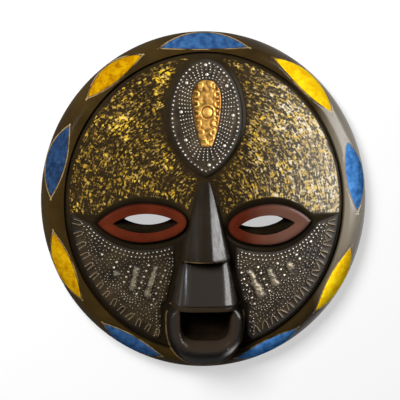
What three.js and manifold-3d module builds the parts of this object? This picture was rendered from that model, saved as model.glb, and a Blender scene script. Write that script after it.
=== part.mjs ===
// A round African wall mask, carved in one piece from light wood and dressed with four
// thin embossed metal sheets. Millimetres, +Z up. The mask lies on its back: the face
// looks up, the forehead points towards +Y, and the origin is the middle of the back.

import * as THREE from 'three';
import { mergeVertices } from 'three/addons/utils/BufferGeometryUtils.js';
import Module from 'manifold-3d';

const wasm = await Module();
wasm.setup();

// Whole mask
const MASK_WIDTH = 300;
const MASK_HEIGHT = 312;
const WALL = 18; // wood between the middle of the face and the hollow behind it
const BACK_LAND = 19; // width of the flat back edge that the mask lies on

// Rim, a convex band around the face, cut off from it by a groove
const RIM_BAND_SIDE = 25;
const RIM_BAND_END = 19.5;
const RIM_FOOT_INSET = 3;
const RIM_EDGE_Z = 8; // height of the widest line
const RIM_TOP_Z = 32;
const GROOVE_WIDTH = 3;
const GROOVE_DEPTH = 3.5;
const FACE_DROP = 1; // edge of the face below the top of the rim
const FACE_RISE = 16; // middle of the face above its edge

// Eyes: a raised almond lid in a shallow moat, with a slot cut right through. The two
// were cut by eye and differ. Tilts are in degrees; slotLean says how much nearer the
// nose the slot's back end is.
const LEFT_EYE = {
  side: -1, x: -57, y: -15, length: 82, height: 37, tilt: 1.6, slotLength: 59, slotLean: 3.1,
};
const RIGHT_EYE = {
  side: 1, x: 58.6, y: -17, length: 77, height: 38.5, tilt: 3.4, slotLength: 52, slotLean: 5.5,
};
const EYES = [LEFT_EYE, RIGHT_EYE];
const LID_PROUD = 3;
const MOAT_WIDTH = 4.5;
const MOAT_DEPTH = 1.2;
const SLOT_HEIGHT = 17.6;
const SLOT_BACK_LENGTH = 44;
const SLOT_BACK_HEIGHT = 12;
const SLOT_SHIFT = 3; // the slot's middle is this much nearer the nose than the lid's
const SLOT_BACK_RISE = 2; // and its back end this much higher up the face

// Nose, a long wedge: a narrow flat front, flanks that lean out slightly and then drop
const NOSE_ROOT_Y = 22;
const NOSE_LENGTH = 69;
const NOSE_WIDTH = 48;
const NOSE_ROOT_WIDTH = 8;
const NOSE_FRONT_WIDTH = 10;
const NOSE_FRONT_ROOT_WIDTH = 3.5;
const NOSE_TIP_Z = 75;
const NOSE_BASE_BOW = 4; // how much shorter the nose is at its sides than in its middle

// Muzzle: the upper lip, a plate with rounded flanks that spread and rise from the nose
const MUZZLE_LENGTH = 43;
const MUZZLE_TOP_WIDTH = 43;
const MUZZLE_PLATE_WIDTH = 36;
const LIP_WIDTH = 64;
const MUZZLE_TOP_Z = 58;
const LIP_Z = 72;

// Chin: the lower lip, a deep U around the mouth, down to the edge of the mask
const CHIN_WIDTH = 69;
const CHIN_SETBACK = 2; // its foot inside the edge of the mask
const CHIN_CREST_Z = 62;
const CHIN_CREST_WIDTH = 63;
const CHIN_CREST_SETBACK = 22;
const MOUTH_WIDTH = 43;
const MOUTH_HEIGHT = 31;
const MOUTH_SPLAY = 9; // how far the lower lip's inner face leans out below
const MOUTH_SIDE_SPLAY = 6.5; // and at each side
const MOUTH_FLOOR_Z = 34;

// Metal sheets, and the pad of wood under the forehead one
const SHEET = 0.8;
const SEAT_GAP = 0.4;
const SHEET_MARGIN = 3.5; // bare wood between a sheet and the carving beside it
const PAD_WIDTH = 71;
const PAD_PROUD = 2.2;
const PAD_EDGE_GAP = 1.5;
const PAD_NOSE_GAP = 5;
const FOREHEAD_SHEET_INSET = 2;
const LEAF_WIDTH = 28;
const LEAF_LENGTH = 59;
const LEAF_THICKNESS = 1.2;
const LEAF_BOSS_RADIUS = 4.5;
const LEAF_BOSS_HEIGHT = 2.6;
const WELT_WIDTH = 6.5;
const WELT_HEIGHT = 2;

// Fineness of the facets
const OVAL_SIDES = 64;
const RIM_STEPS = 6;
const FACE_STEPS = 6;
const HOLLOW_STEPS = 7;

const MASK_HALF_WIDTH = MASK_WIDTH / 2;
const MASK_HALF_HEIGHT = MASK_HEIGHT / 2;
const FACE_HALF_WIDTH = MASK_HALF_WIDTH - RIM_BAND_SIDE;
const FACE_HALF_HEIGHT = MASK_HALF_HEIGHT - RIM_BAND_END;
const FACE_EDGE_Z = RIM_TOP_Z - FACE_DROP;
const HOLLOW_TOP_Z = FACE_EDGE_Z + FACE_RISE - WALL;
const NOSE_BASE_Y = NOSE_ROOT_Y - NOSE_LENGTH;
const LIP_Y = NOSE_BASE_Y - MUZZLE_LENGTH;
const CHIN_FOOT_Y = -MASK_HALF_HEIGHT + CHIN_SETBACK;
const EMBED = 6; // how deep the carved features reach into the wood below them

const lerp = THREE.MathUtils.lerp;

// Height of the domed face at a point
function faceZ(x, y) {
  const span = Math.min(1, Math.hypot(x / FACE_HALF_WIDTH, y / FACE_HALF_HEIGHT));
  return FACE_EDGE_Z + FACE_RISE * (1 - span * span);
}

// A power of a sine or cosine that keeps its sign, for rounded and pointed outlines
function signedPower(value, power) {
  return Math.sign(value) * Math.abs(value) ** power;
}

// A closed geometry through loops of equally many points, its ends closed by fans
function loft(loops) {
  const sides = loops[0].length;
  const points = loops.flat();
  const triangles = [];
  for (let row = 0; row < loops.length - 1; row++) {
    for (let i = 0; i < sides; i++) {
      const a = row * sides + i;
      const b = row * sides + ((i + 1) % sides);
      triangles.push(a, b, b + sides, a, b + sides, a + sides);
    }
  }
  for (const [row, turned] of [[0, true], [loops.length - 1, false]]) {
    const hub = points.length;
    const middle = new THREE.Vector3();
    loops[row].forEach((point) => middle.addScaledVector(point, 1 / sides));
    points.push(middle);
    for (let i = 0; i < sides; i++) {
      const a = row * sides + i;
      const b = row * sides + ((i + 1) % sides);
      triangles.push(...(turned ? [b, a, hub] : [a, b, hub]));
    }
  }
  const geometry = new THREE.BufferGeometry().setFromPoints(points);
  geometry.setIndex(triangles);
  return geometry;
}

// A manifold solid from a closed geometry, turned right side out
function solidOf(geometry) {
  const plain = geometry.clone();
  plain.deleteAttribute('normal');
  plain.deleteAttribute('uv');
  const merged = mergeVertices(plain, 1e-4);
  const make = (triVerts) => new wasm.Manifold(new wasm.Mesh({
    numProp: 3,
    vertProperties: new Float32Array(merged.attributes.position.array),
    triVerts,
  }));
  const corners = new Uint32Array(merged.index.array);
  const solid = make(corners);
  return solid.volume() > 0 ? solid : make(corners.reverse());
}

// A geometry from a manifold solid
function geometryOf(solid) {
  const mesh = solid.getMesh();
  const geometry = new THREE.BufferGeometry();
  geometry.setAttribute('position', new THREE.BufferAttribute(mesh.vertProperties, 3));
  geometry.setIndex(new THREE.BufferAttribute(mesh.triVerts, 1));
  geometry.computeVertexNormals();
  return geometry;
}

// One oval ring, level at height z
function oval(halfWidth, halfHeight, z) {
  return Array.from({ length: OVAL_SIDES }, (_, i) => {
    const turn = (i / OVAL_SIDES) * 2 * Math.PI;
    return new THREE.Vector3(halfWidth * Math.cos(turn), halfHeight * Math.sin(turn), z);
  });
}

// Rim, groove and domed face, closed flat below
function bowlFront() {
  const loops = [oval(MASK_HALF_WIDTH - RIM_FOOT_INSET, MASK_HALF_HEIGHT - RIM_FOOT_INSET, 0)];
  for (let i = 0; i <= RIM_STEPS; i++) {
    const turn = (i / RIM_STEPS) * (Math.PI / 2);
    const inwards = 1 - Math.cos(turn);
    loops.push(oval(
      MASK_HALF_WIDTH - (RIM_BAND_SIDE - GROOVE_WIDTH) * inwards,
      MASK_HALF_HEIGHT - (RIM_BAND_END - GROOVE_WIDTH) * inwards,
      lerp(RIM_EDGE_Z, RIM_TOP_Z, Math.sin(turn)),
    ));
  }
  const halfGroove = GROOVE_WIDTH / 2;
  loops.push(oval(
    FACE_HALF_WIDTH + halfGroove,
    FACE_HALF_HEIGHT + halfGroove,
    RIM_TOP_Z - GROOVE_DEPTH,
  ));
  for (let i = FACE_STEPS; i > 0; i--) {
    const share = i / FACE_STEPS;
    loops.push(oval(
      FACE_HALF_WIDTH * share,
      FACE_HALF_HEIGHT * share,
      faceZ(FACE_HALF_WIDTH * share, 0),
    ));
  }
  return solidOf(loft(loops));
}

// The hollow behind the face
function bowlHollow() {
  const halfWidth = MASK_HALF_WIDTH - RIM_FOOT_INSET - BACK_LAND;
  const halfHeight = MASK_HALF_HEIGHT - RIM_FOOT_INSET - BACK_LAND;
  const fullness = 2 / 2.6;
  const loops = [oval(halfWidth, halfHeight, -EMBED)];
  for (let i = 0; i < HOLLOW_STEPS; i++) {
    const turn = (i / HOLLOW_STEPS) * (Math.PI / 2);
    const out = Math.cos(turn) ** fullness;
    loops.push(oval(halfWidth * out, halfHeight * out, HOLLOW_TOP_Z * Math.sin(turn) ** fullness));
  }
  return solidOf(loft(loops));
}

// Almond outline around a middle, turned about the eye's own middle: 1 is an ellipse's
// end, 2 a pointed one. The outer end is the one away from the nose.
function almond(eye, middleX, middleY, halfLength, halfHeight, outerPoint, innerPoint) {
  const sides = 36;
  const pivot = new THREE.Vector2(eye.x, eye.y);
  return Array.from({ length: sides }, (_, i) => {
    const turn = (i / sides) * 2 * Math.PI;
    const power = Math.cos(turn) > 0 ? outerPoint : innerPoint;
    return new THREE.Vector2(
      middleX + eye.side * halfLength * Math.cos(turn),
      middleY + halfHeight * signedPower(Math.sin(turn), power),
    ).rotateAround(pivot, THREE.MathUtils.degToRad(eye.tilt));
  });
}

const LID_OUTER_POINT = 1.7;
const LID_INNER_POINT = 1.0;

function lidOutline(eye, grow) {
  return almond(
    eye,
    eye.x,
    eye.y,
    eye.length / 2 + grow,
    eye.height / 2 + grow,
    LID_OUTER_POINT,
    LID_INNER_POINT,
  );
}

// A loop that follows the face at a height over it
function onFace(outline, proud) {
  return outline.map((point) => new THREE.Vector3(
    point.x,
    point.y,
    faceZ(point.x, point.y) + proud,
  ));
}

function eyeMoat(eye) {
  return solidOf(loft([
    onFace(lidOutline(eye, 0), -MOAT_DEPTH),
    onFace(lidOutline(eye, MOAT_WIDTH * 0.55), -MOAT_DEPTH),
    onFace(lidOutline(eye, MOAT_WIDTH), MOAT_DEPTH * 0.5),
    onFace(lidOutline(eye, MOAT_WIDTH), EMBED),
    onFace(lidOutline(eye, 0), EMBED),
  ]));
}

function eyeLid(eye) {
  return solidOf(loft([
    onFace(lidOutline(eye, -1), -EMBED),
    onFace(lidOutline(eye, 0), -MOAT_DEPTH - 0.5),
    onFace(lidOutline(eye, -1), LID_PROUD * 0.75),
    onFace(lidOutline(eye, -4), LID_PROUD),
    onFace(lidOutline(eye, -10), LID_PROUD * 0.8),
  ]));
}

function eyeSlot(eye) {
  const level = (outline, z) => outline.map((point) => new THREE.Vector3(point.x, point.y, z));
  const frontX = eye.x - eye.side * SLOT_SHIFT;
  const backX = frontX - eye.side * eye.slotLean;
  const backY = eye.y + SLOT_BACK_RISE;
  const slotPoint = 1.75;
  const front = almond(
    eye, frontX, eye.y, eye.slotLength / 2, SLOT_HEIGHT / 2, slotPoint, slotPoint,
  );
  const back = almond(
    eye, backX, backY, SLOT_BACK_LENGTH / 2, SLOT_BACK_HEIGHT / 2, slotPoint, slotPoint,
  );
  const middleZ = faceZ(eye.x, eye.y);
  return solidOf(loft([
    level(back, -EMBED),
    level(back, middleZ - WALL),
    level(front, middleZ + LID_PROUD * 0.5),
    level(front, middleZ + WALL),
  ]));
}

// How wide the nose is where it meets the face
function noseHalfWidth(y) {
  const down = THREE.MathUtils.clamp((NOSE_ROOT_Y - y) / NOSE_LENGTH, 0, 1);
  return lerp(NOSE_ROOT_WIDTH, NOSE_WIDTH, down) / 2;
}

// How far a flank of the nose has fallen, from its front edge (0) to the face (1)
function noseFall(out) {
  return 0.35 * out + 0.65 * out ** 4;
}

function nose() {
  const steps = 8;
  const flank = [0.9, 0.75, 0.55, 0.3];
  const loops = [];
  for (let i = 0; i <= steps; i++) {
    const down = i / steps;
    const y = NOSE_ROOT_Y - NOSE_LENGTH * down;
    const base = noseHalfWidth(y);
    const front = lerp(NOSE_FRONT_ROOT_WIDTH, NOSE_FRONT_WIDTH, down) / 2;
    const foot = faceZ(0, y) - 1;
    const ridge = lerp(faceZ(0, NOSE_ROOT_Y) + 1, NOSE_TIP_Z, down ** 1.08);
    const half = [
      [base, foot - EMBED],
      [base, foot],
      ...flank.map((out) => [lerp(front, base, out), lerp(ridge, foot, noseFall(out))]),
      [front, ridge - 0.8 * down],
      [front * 0.45, ridge - 0.2],
    ];
    const mirrored = half.map(([x, z]) => [-x, z]).reverse();
    loops.push([...half, ...mirrored].map(([x, z]) => {
      const bow = NOSE_BASE_BOW * down * (x / base) ** 2;
      return new THREE.Vector3(x, y + bow, z);
    }));
  }
  return solidOf(loft(loops));
}

// How wide the upper lip block is where it meets the face
function muzzleHalfWidth(y) {
  const down = THREE.MathUtils.clamp((NOSE_BASE_Y - y) / MUZZLE_LENGTH, 0, 1);
  return lerp(MUZZLE_TOP_WIDTH, LIP_WIDTH, down ** 0.9) / 2;
}

function muzzle() {
  const steps = 8;
  const hidden = 5; // length of the block inside the nose
  const flank = [1, 0.88, 0.68, 0.42, 0.18]; // shares from the plate's edge to the foot
  const plate = MUZZLE_PLATE_WIDTH / 2;
  const loops = [];
  for (let i = 0; i <= steps; i++) {
    const y = NOSE_BASE_Y + hidden - (MUZZLE_LENGTH + hidden) * (i / steps);
    const down = Math.max(0, (NOSE_BASE_Y - y) / MUZZLE_LENGTH);
    const halfWidth = muzzleHalfWidth(y);
    const foot = faceZ(0, y) - EMBED;
    const crown = lerp(MUZZLE_TOP_Z, LIP_Z, down ** 0.8);
    const edge = Math.min(plate, halfWidth * 0.86);
    const half = flank.map((out) => [
      lerp(edge, halfWidth, out),
      lerp(crown - 0.8, foot, out ** 1.7),
    ]);
    half.push([edge * 0.85, crown - 0.2]);
    const mirrored = half.map(([x, z]) => [-x, z]).reverse();
    loops.push([...half, [0, crown], ...mirrored].map(([x, z]) => new THREE.Vector3(x, y, z)));
  }
  return solidOf(loft(loops));
}

// Outline of the chin: a full U below the lip line, a flat arch hidden above it
function chinOutline(halfWidth, footY, z) {
  const sides = 40;
  const middleY = LIP_Y - 14;
  const fullness = 2 / 2.6;
  return Array.from({ length: sides }, (_, i) => {
    const turn = (i / sides) * 2 * Math.PI;
    const reach = Math.sin(turn) > 0 ? 18 : middleY - footY;
    return new THREE.Vector3(
      halfWidth * signedPower(Math.cos(turn), fullness),
      middleY + reach * signedPower(Math.sin(turn), fullness),
      z,
    );
  });
}

function chin() {
  const steps = 7;
  const startZ = 1;
  const loops = [];
  for (let i = 0; i <= steps; i++) {
    const up = i / steps;
    const halfWidth = lerp(CHIN_WIDTH, CHIN_CREST_WIDTH, up ** 3) / 2;
    const footY = CHIN_FOOT_Y + (CHIN_CREST_SETBACK - CHIN_SETBACK) * up ** 2;
    loops.push(chinOutline(halfWidth, footY, lerp(startZ, CHIN_CREST_Z - 2, up)));
  }
  const crestInset = 2;
  loops.push(chinOutline(
    CHIN_CREST_WIDTH / 2 - crestInset,
    CHIN_FOOT_Y + CHIN_CREST_SETBACK - CHIN_SETBACK + crestInset,
    CHIN_CREST_Z,
  ));
  return solidOf(loft(loops));
}

// The mouth: a blind pocket, square against the upper lip and round below
function mouthPocket() {
  const steps = 18;
  const loop = (halfWidth, height, z) => Array.from({ length: steps + 1 }, (_, i) => {
    const turn = (i / steps) * Math.PI;
    return new THREE.Vector3(
      halfWidth * signedPower(Math.cos(turn), 0.5),
      LIP_Y - height * Math.sin(turn) ** 0.5,
      z,
    );
  });
  const half = MOUTH_WIDTH / 2;
  return solidOf(loft([
    loop(half * 0.85, MOUTH_HEIGHT * 0.85, MOUTH_FLOOR_Z),
    loop(half, MOUTH_HEIGHT, lerp(MOUTH_FLOOR_Z, CHIN_CREST_Z, 0.45)),
    loop(half + MOUTH_SIDE_SPLAY, MOUTH_HEIGHT + MOUTH_SPLAY, CHIN_CREST_Z),
    loop(half + MOUTH_SIDE_SPLAY, MOUTH_HEIGHT + MOUTH_SPLAY, LIP_Z + EMBED),
  ]));
}

// The pointed oval between the nose and the top of the face
const PAD_TOP_Y = FACE_HALF_HEIGHT - PAD_EDGE_GAP;
const PAD_BOTTOM_Y = NOSE_ROOT_Y + PAD_NOSE_GAP;
const PAD_MIDDLE_Y = (PAD_TOP_Y + PAD_BOTTOM_Y) / 2;

const PAD_UPPER_POINT = 1.05;
const PAD_LOWER_POINT = 1.5;

function padOutline(scale, inset) {
  const sides = 40;
  const halfWidth = (PAD_WIDTH / 2 - inset) * scale;
  const halfHeight = ((PAD_TOP_Y - PAD_BOTTOM_Y) / 2 - inset * 1.5) * scale;
  return Array.from({ length: sides }, (_, i) => {
    const turn = (i / sides) * 2 * Math.PI;
    const point = Math.sin(turn) > 0 ? PAD_UPPER_POINT : PAD_LOWER_POINT;
    return new THREE.Vector2(
      halfWidth * signedPower(Math.cos(turn), point),
      PAD_MIDDLE_Y + halfHeight * Math.sin(turn),
    );
  });
}

const PAD_RINGS = [1, 0.72, 0.4];

function foreheadPad() {
  return solidOf(loft([
    onFace(padOutline(1, 0), -EMBED),
    onFace(padOutline(1, 0), 0),
    onFace(padOutline(1, FOREHEAD_SHEET_INSET * 0.6), PAD_PROUD),
    ...PAD_RINGS.slice(1).map((scale) => onFace(padOutline(scale, 0), PAD_PROUD)),
  ]));
}

// A skin between two heights over the face, through loops from its edge inwards
function skin(outlines, low, high) {
  return loft([
    ...[...outlines].reverse().map((outline) => onFace(outline, low)),
    ...outlines.map((outline) => onFace(outline, high)),
  ]);
}

const FOREHEAD_SHEET_LOW = PAD_PROUD + SEAT_GAP;
const FOREHEAD_SHEET_HIGH = FOREHEAD_SHEET_LOW + SHEET;

function foreheadSheet() {
  const outlines = PAD_RINGS.map((scale) => padOutline(scale, FOREHEAD_SHEET_INSET));
  return skin(outlines, FOREHEAD_SHEET_LOW, FOREHEAD_SHEET_HIGH);
}

// Brass leaf on the forehead sheet, with the round boss in its middle
function brassLeaf() {
  const sides = 32;
  const low = FOREHEAD_SHEET_HIGH + SEAT_GAP;
  const outline = (scale) => Array.from({ length: sides }, (_, i) => {
    const turn = (i / sides) * 2 * Math.PI;
    return new THREE.Vector2(
      (LEAF_WIDTH / 2) * scale * signedPower(Math.cos(turn), 1.35),
      PAD_MIDDLE_Y + (LEAF_LENGTH / 2) * scale * Math.sin(turn),
    );
  });
  const leaf = solidOf(skin([1, 0.6].map(outline), low, low + LEAF_THICKNESS));
  const bossLoops = [[1, -LEAF_THICKNESS / 2], [1, 0], [0.8, 0.6], [0.4, 1]];
  const top = faceZ(0, PAD_MIDDLE_Y) + low + LEAF_THICKNESS;
  const boss = solidOf(loft(bossLoops.map(([share, rise]) => {
    const z = top + (rise > 0 ? rise * LEAF_BOSS_HEIGHT : rise);
    return Array.from({ length: 16 }, (_, i) => {
      const turn = (i / 16) * 2 * Math.PI;
      return new THREE.Vector3(
        LEAF_BOSS_RADIUS * share * Math.cos(turn),
        PAD_MIDDLE_Y + LEAF_BOSS_RADIUS * share * Math.sin(turn),
        z,
      );
    });
  })));
  return geometryOf(leaf.add(boss));
}

// Half width of whatever stands up beside a cheek sheet at this height of the face
function middleHalfWidth(y) {
  if (y > NOSE_BASE_Y) return NOSE_WIDTH / 2;
  const besideChin = y < LIP_Y ? CHIN_WIDTH / 2 : 0;
  return Math.max(NOSE_WIDTH / 2, muzzleHalfWidth(y), besideChin);
}

// Points evenly spaced along a line of points
function evenly(points, count) {
  const path = new THREE.CurvePath();
  for (let i = 1; i < points.length; i++) path.add(new THREE.LineCurve(points[i - 1], points[i]));
  return Array.from({ length: count }, (_, i) => path.getPointAt(i / (count - 1)));
}

// A cheek sheet's two long edges: beside the eye, nose and lips, and along the groove
function cheekEdges(eye, count) {
  const { side } = eye;
  const clear = MOAT_WIDTH + SHEET_MARGIN * 0.5;
  const underEye = lidOutline(eye, clear)
    .filter((point) => point.y < eye.y + 1)
    .sort((a, b) => side * (b.x - a.x))
    .filter((point) => side * point.x > middleHalfWidth(point.y) + SHEET_MARGIN);
  const edgeShare = 1 - SHEET_MARGIN * 0.7 / FACE_HALF_WIDTH;
  const rimPoint = (turn) => new THREE.Vector2(
    side * FACE_HALF_WIDTH * edgeShare * Math.cos(turn),
    FACE_HALF_HEIGHT * edgeShare * Math.sin(turn),
  );
  const besideX = CHIN_WIDTH / 2 + SHEET_MARGIN;
  const lastTurn = -Math.acos(besideX / (FACE_HALF_WIDTH * edgeShare));
  const lastY = rimPoint(lastTurn).y + 5;
  const beside = [];
  for (let y = underEye[underEye.length - 1].y - 6; y > lastY; y -= 6) {
    beside.push(new THREE.Vector2(side * (middleHalfWidth(y) + SHEET_MARGIN), y));
  }
  const firstTurn = Math.asin((eye.y + 7) / FACE_HALF_HEIGHT);
  const rimSteps = 24;
  const along = Array.from(
    { length: rimSteps + 1 },
    (_, i) => rimPoint(lerp(firstTurn, lastTurn, i / rimSteps)),
  );
  return [evenly([...underEye, ...beside], count), evenly(along, count)];
}

// The raised welts of the cheek sheets: middle and lean of each, from the nose outwards
const WELTS = [
  { x: 50, y: -73, length: 34, lean: 24 },
  { x: 68, y: -68, length: 28, lean: 25 },
  { x: 85, y: -56, length: 15, lean: 30 },
];

function welt(side, { x, y, length, lean }) {
  const sides = 16;
  const turned = THREE.MathUtils.degToRad(side * lean);
  const low = SEAT_GAP + SHEET;
  const ring = (scale, proud) => onFace(Array.from({ length: sides }, (_, i) => {
    const turn = (i / sides) * 2 * Math.PI;
    return new THREE.Vector2(
      (WELT_WIDTH / 2) * scale * Math.cos(turn),
      (length / 2) * (1 - (1 - scale) * (WELT_WIDTH / length)) * Math.sin(turn),
    ).rotateAround(new THREE.Vector2(), turned).add(new THREE.Vector2(side * x, y));
  }), proud);
  return solidOf(loft([
    ring(1, low - SHEET / 2),
    ring(1, low),
    ring(0.72, low + WELT_HEIGHT * 0.75),
    ring(0.3, low + WELT_HEIGHT),
  ]));
}

// A cheek sheet: a skin of strips between its two edges, closed all round
function cheekSheet(eye) {
  const columns = 22;
  const rows = 6;
  const [inner, outer] = cheekEdges(eye, columns);
  const level = (column, row, proud) => {
    const point = inner[column].clone().lerp(outer[column], row / rows);
    return new THREE.Vector3(point.x, point.y, faceZ(point.x, point.y) + proud);
  };
  const loops = inner.map((_, column) => {
    const under = [];
    const over = [];
    for (let row = 0; row <= rows; row++) {
      under.push(level(column, row, SEAT_GAP));
      over.unshift(level(column, row, SEAT_GAP + SHEET));
    }
    return [...under, ...over];
  });
  const sheet = solidOf(loft(loops));
  return geometryOf(WELTS.reduce((made, shape) => made.add(welt(eye.side, shape)), sheet));
}

// The carved wood, all one piece
function woodenBody() {
  let wood = bowlFront().add(foreheadPad());
  for (const eye of EYES) wood = wood.subtract(eyeMoat(eye)).add(eyeLid(eye));
  wood = wood.add(nose()).add(chin()).add(muzzle());
  wood = wood.subtract(bowlHollow()).subtract(mouthPocket());
  for (const eye of EYES) wood = wood.subtract(eyeSlot(eye));
  return geometryOf(wood);
}

const darkWood = new THREE.MeshStandardMaterial({ color: 0x33291f, roughness: 0.42 });
const darkAluminium = new THREE.MeshStandardMaterial({
  color: 0x4a443c, roughness: 0.45, metalness: 0.8,
});
const brass = new THREE.MeshStandardMaterial({ color: 0xc79445, roughness: 0.4, metalness: 1 });

function piece(name, geometry, material) {
  const mesh = new THREE.Mesh(geometry, material);
  mesh.name = name;
  return mesh;
}

const mask = new THREE.Group();
mask.add(piece('wooden_mask', woodenBody(), darkWood));
mask.add(piece('forehead_sheet', foreheadSheet(), darkAluminium));
mask.add(piece('brass_leaf', brassLeaf(), brass));
mask.add(piece('left_cheek_sheet', cheekSheet(LEFT_EYE), darkAluminium));
mask.add(piece('right_cheek_sheet', cheekSheet(RIGHT_EYE), darkAluminium));

export default mask;
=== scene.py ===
# %% [markdown]
# # A round African wall mask
# The mask is one block of wood, carved from the front, painted and polished, with four
# thin metal sheets nailed on. It lies on its back, so the camera looks down on it.
# First the imported model is loaded. It is the fixed frame that every piece is fitted to.

# %% Load the frame
import math
from typing import NamedTuple

import bmesh
import bpy
import numpy as np
from mathutils import Matrix, Vector, kdtree, noise
from mathutils.geometry import delaunay_2d_cdt


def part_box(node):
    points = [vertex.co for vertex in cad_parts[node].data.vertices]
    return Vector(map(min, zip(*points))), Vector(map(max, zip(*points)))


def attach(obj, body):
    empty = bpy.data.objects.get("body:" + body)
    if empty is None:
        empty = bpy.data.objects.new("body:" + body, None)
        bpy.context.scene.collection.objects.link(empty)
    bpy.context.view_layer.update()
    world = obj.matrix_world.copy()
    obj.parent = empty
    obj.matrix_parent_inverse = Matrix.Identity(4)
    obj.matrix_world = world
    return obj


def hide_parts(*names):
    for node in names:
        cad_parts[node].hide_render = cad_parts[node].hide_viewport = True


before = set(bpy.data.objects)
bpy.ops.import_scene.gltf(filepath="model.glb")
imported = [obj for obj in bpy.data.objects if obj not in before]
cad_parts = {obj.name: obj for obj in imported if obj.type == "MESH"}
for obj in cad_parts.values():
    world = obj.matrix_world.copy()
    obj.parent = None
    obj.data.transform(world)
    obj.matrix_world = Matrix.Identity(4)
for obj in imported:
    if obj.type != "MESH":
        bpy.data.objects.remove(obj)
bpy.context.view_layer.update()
print("nodes in the frame:", sorted(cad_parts))

# %% [markdown]
# ## The camera
# The photograph was taken from almost straight above, leaning a little towards the
# forehead. Blender's usual "track to" turns a camera that looks straight down by its
# own rule, so the three axes of the camera are worked out here: Z points back at the
# photographer, Y is up in the picture, which is towards the forehead.

# %% Camera
MM = 0.001
VIEW_FROM = Vector((-0.038, 0.148, 0.988)).normalized()
VIEW_DISTANCE = 1.5
AIM = Vector((-3.4, 0.6, 8)) * MM
FRAME_WIDTH = 369.8 * MM  # what the picture takes in at the height of the rim's edge


def camera_turn(back, up):
    side = up.cross(back).normalized()
    return Matrix((side, back.cross(side), back)).transposed().to_euler()


bpy.ops.object.camera_add(
    location=AIM + VIEW_FROM * VIEW_DISTANCE,
    rotation=camera_turn(VIEW_FROM, Vector((0, 1, 0))),
)
camera = bpy.context.object
camera.data.sensor_width = 36
camera.data.lens = 36 * VIEW_DISTANCE / FRAME_WIDTH
camera.data.clip_start = 0.05
bpy.context.scene.camera = camera
print("lens of", round(camera.data.lens), "mm")

# %% [markdown]
# ## Light
# The soft shadow below and to the right says that the main light is on the upper left.
# It left no highlight there, though, while the right of the nose, of the rim and of the
# forehead has a wide grey sheen. Photographers get this with polarising filters: one
# lamp lights without a highlight, and another gives only its highlight. In Blender it
# is the ray visibility of the lamp. A small lamp gives the thin highlights on the left,
# and a weak one fills the shadows on the right.
# Area lights are used, because their size sets how soft a shadow or a highlight is.

# %% Lights and world
LIGHT_TARGET = Vector((0, 0, 0.03))


def soft_light(name, location, width, height, watts):
    place = Vector(location)
    bpy.ops.object.light_add(
        type="AREA",
        location=place,
        rotation=(place - LIGHT_TARGET).to_track_quat("Z", "Y").to_euler(),
    )
    light = bpy.context.object
    light.name = name
    light.data.shape = "RECTANGLE"
    light.data.size = width
    light.data.size_y = height
    light.data.energy = watts
    return light


main_light = soft_light("main_light", (-0.64, 0.85, 1.4), width=0.7, height=0.7, watts=60)
fill_light = soft_light("fill_light", (1.1, 0.2, 0.8), width=0.6, height=0.6, watts=1)
sheen_light = soft_light("sheen_light", (1.0, 0.33, 0.5), width=1.1, height=1.0, watts=34)
edge_light = soft_light("edge_light", (-0.95, 0.37, 0.74), width=0.07, height=0.34, watts=3)
for light in (main_light, fill_light):
    light.visible_glossy = False
for light in (sheen_light, edge_light):
    light.visible_diffuse = False
edge_light.data.color = (0.75, 0.86, 1)

room = bpy.data.worlds.new("white_room")
room.use_nodes = True
background = room.node_tree.nodes["Background"]
background.inputs["Color"].default_value = (1, 1, 1, 1)
background.inputs["Strength"].default_value = 0.07
bpy.context.scene.world = room
bpy.context.scene.view_settings.view_transform = "Standard"

# %% [markdown]
# ## Shader maths as plain expressions
# A shader is a graph of nodes. Long formulas are hard to read as a graph, so a small
# class wraps a socket: `mask * 0.5 + 0.2` then adds the two Math nodes by itself.
# Every other node comes from one method, which takes the node's settings and inputs.

# %% Helpers for materials


class Value:
    """A number that changes over the surface: an output socket with arithmetic."""

    def __init__(self, finish, socket):
        self.finish = finish
        self.socket = socket

    def math(self, operation, *others):
        sockets = dict(enumerate((self, *others)))
        return self.finish.node("ShaderNodeMath", {"operation": operation}, sockets)

    def __add__(self, other):
        return self.math("ADD", other)

    def __sub__(self, other):
        return self.math("SUBTRACT", other)

    def __mul__(self, other):
        return self.math("MULTIPLY", other)

    def __rsub__(self, other):
        return self.finish.node("ShaderNodeMath", {"operation": "SUBTRACT"}, {0: other, 1: self})

    def ramp(self, low, high):
        """0 at low, 1 at high, straight between, and clamped outside."""
        sockets = {"Value": self, "From Min": low, "From Max": high}
        return self.finish.node("ShaderNodeMapRange", {"clamp": True}, sockets)


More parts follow.
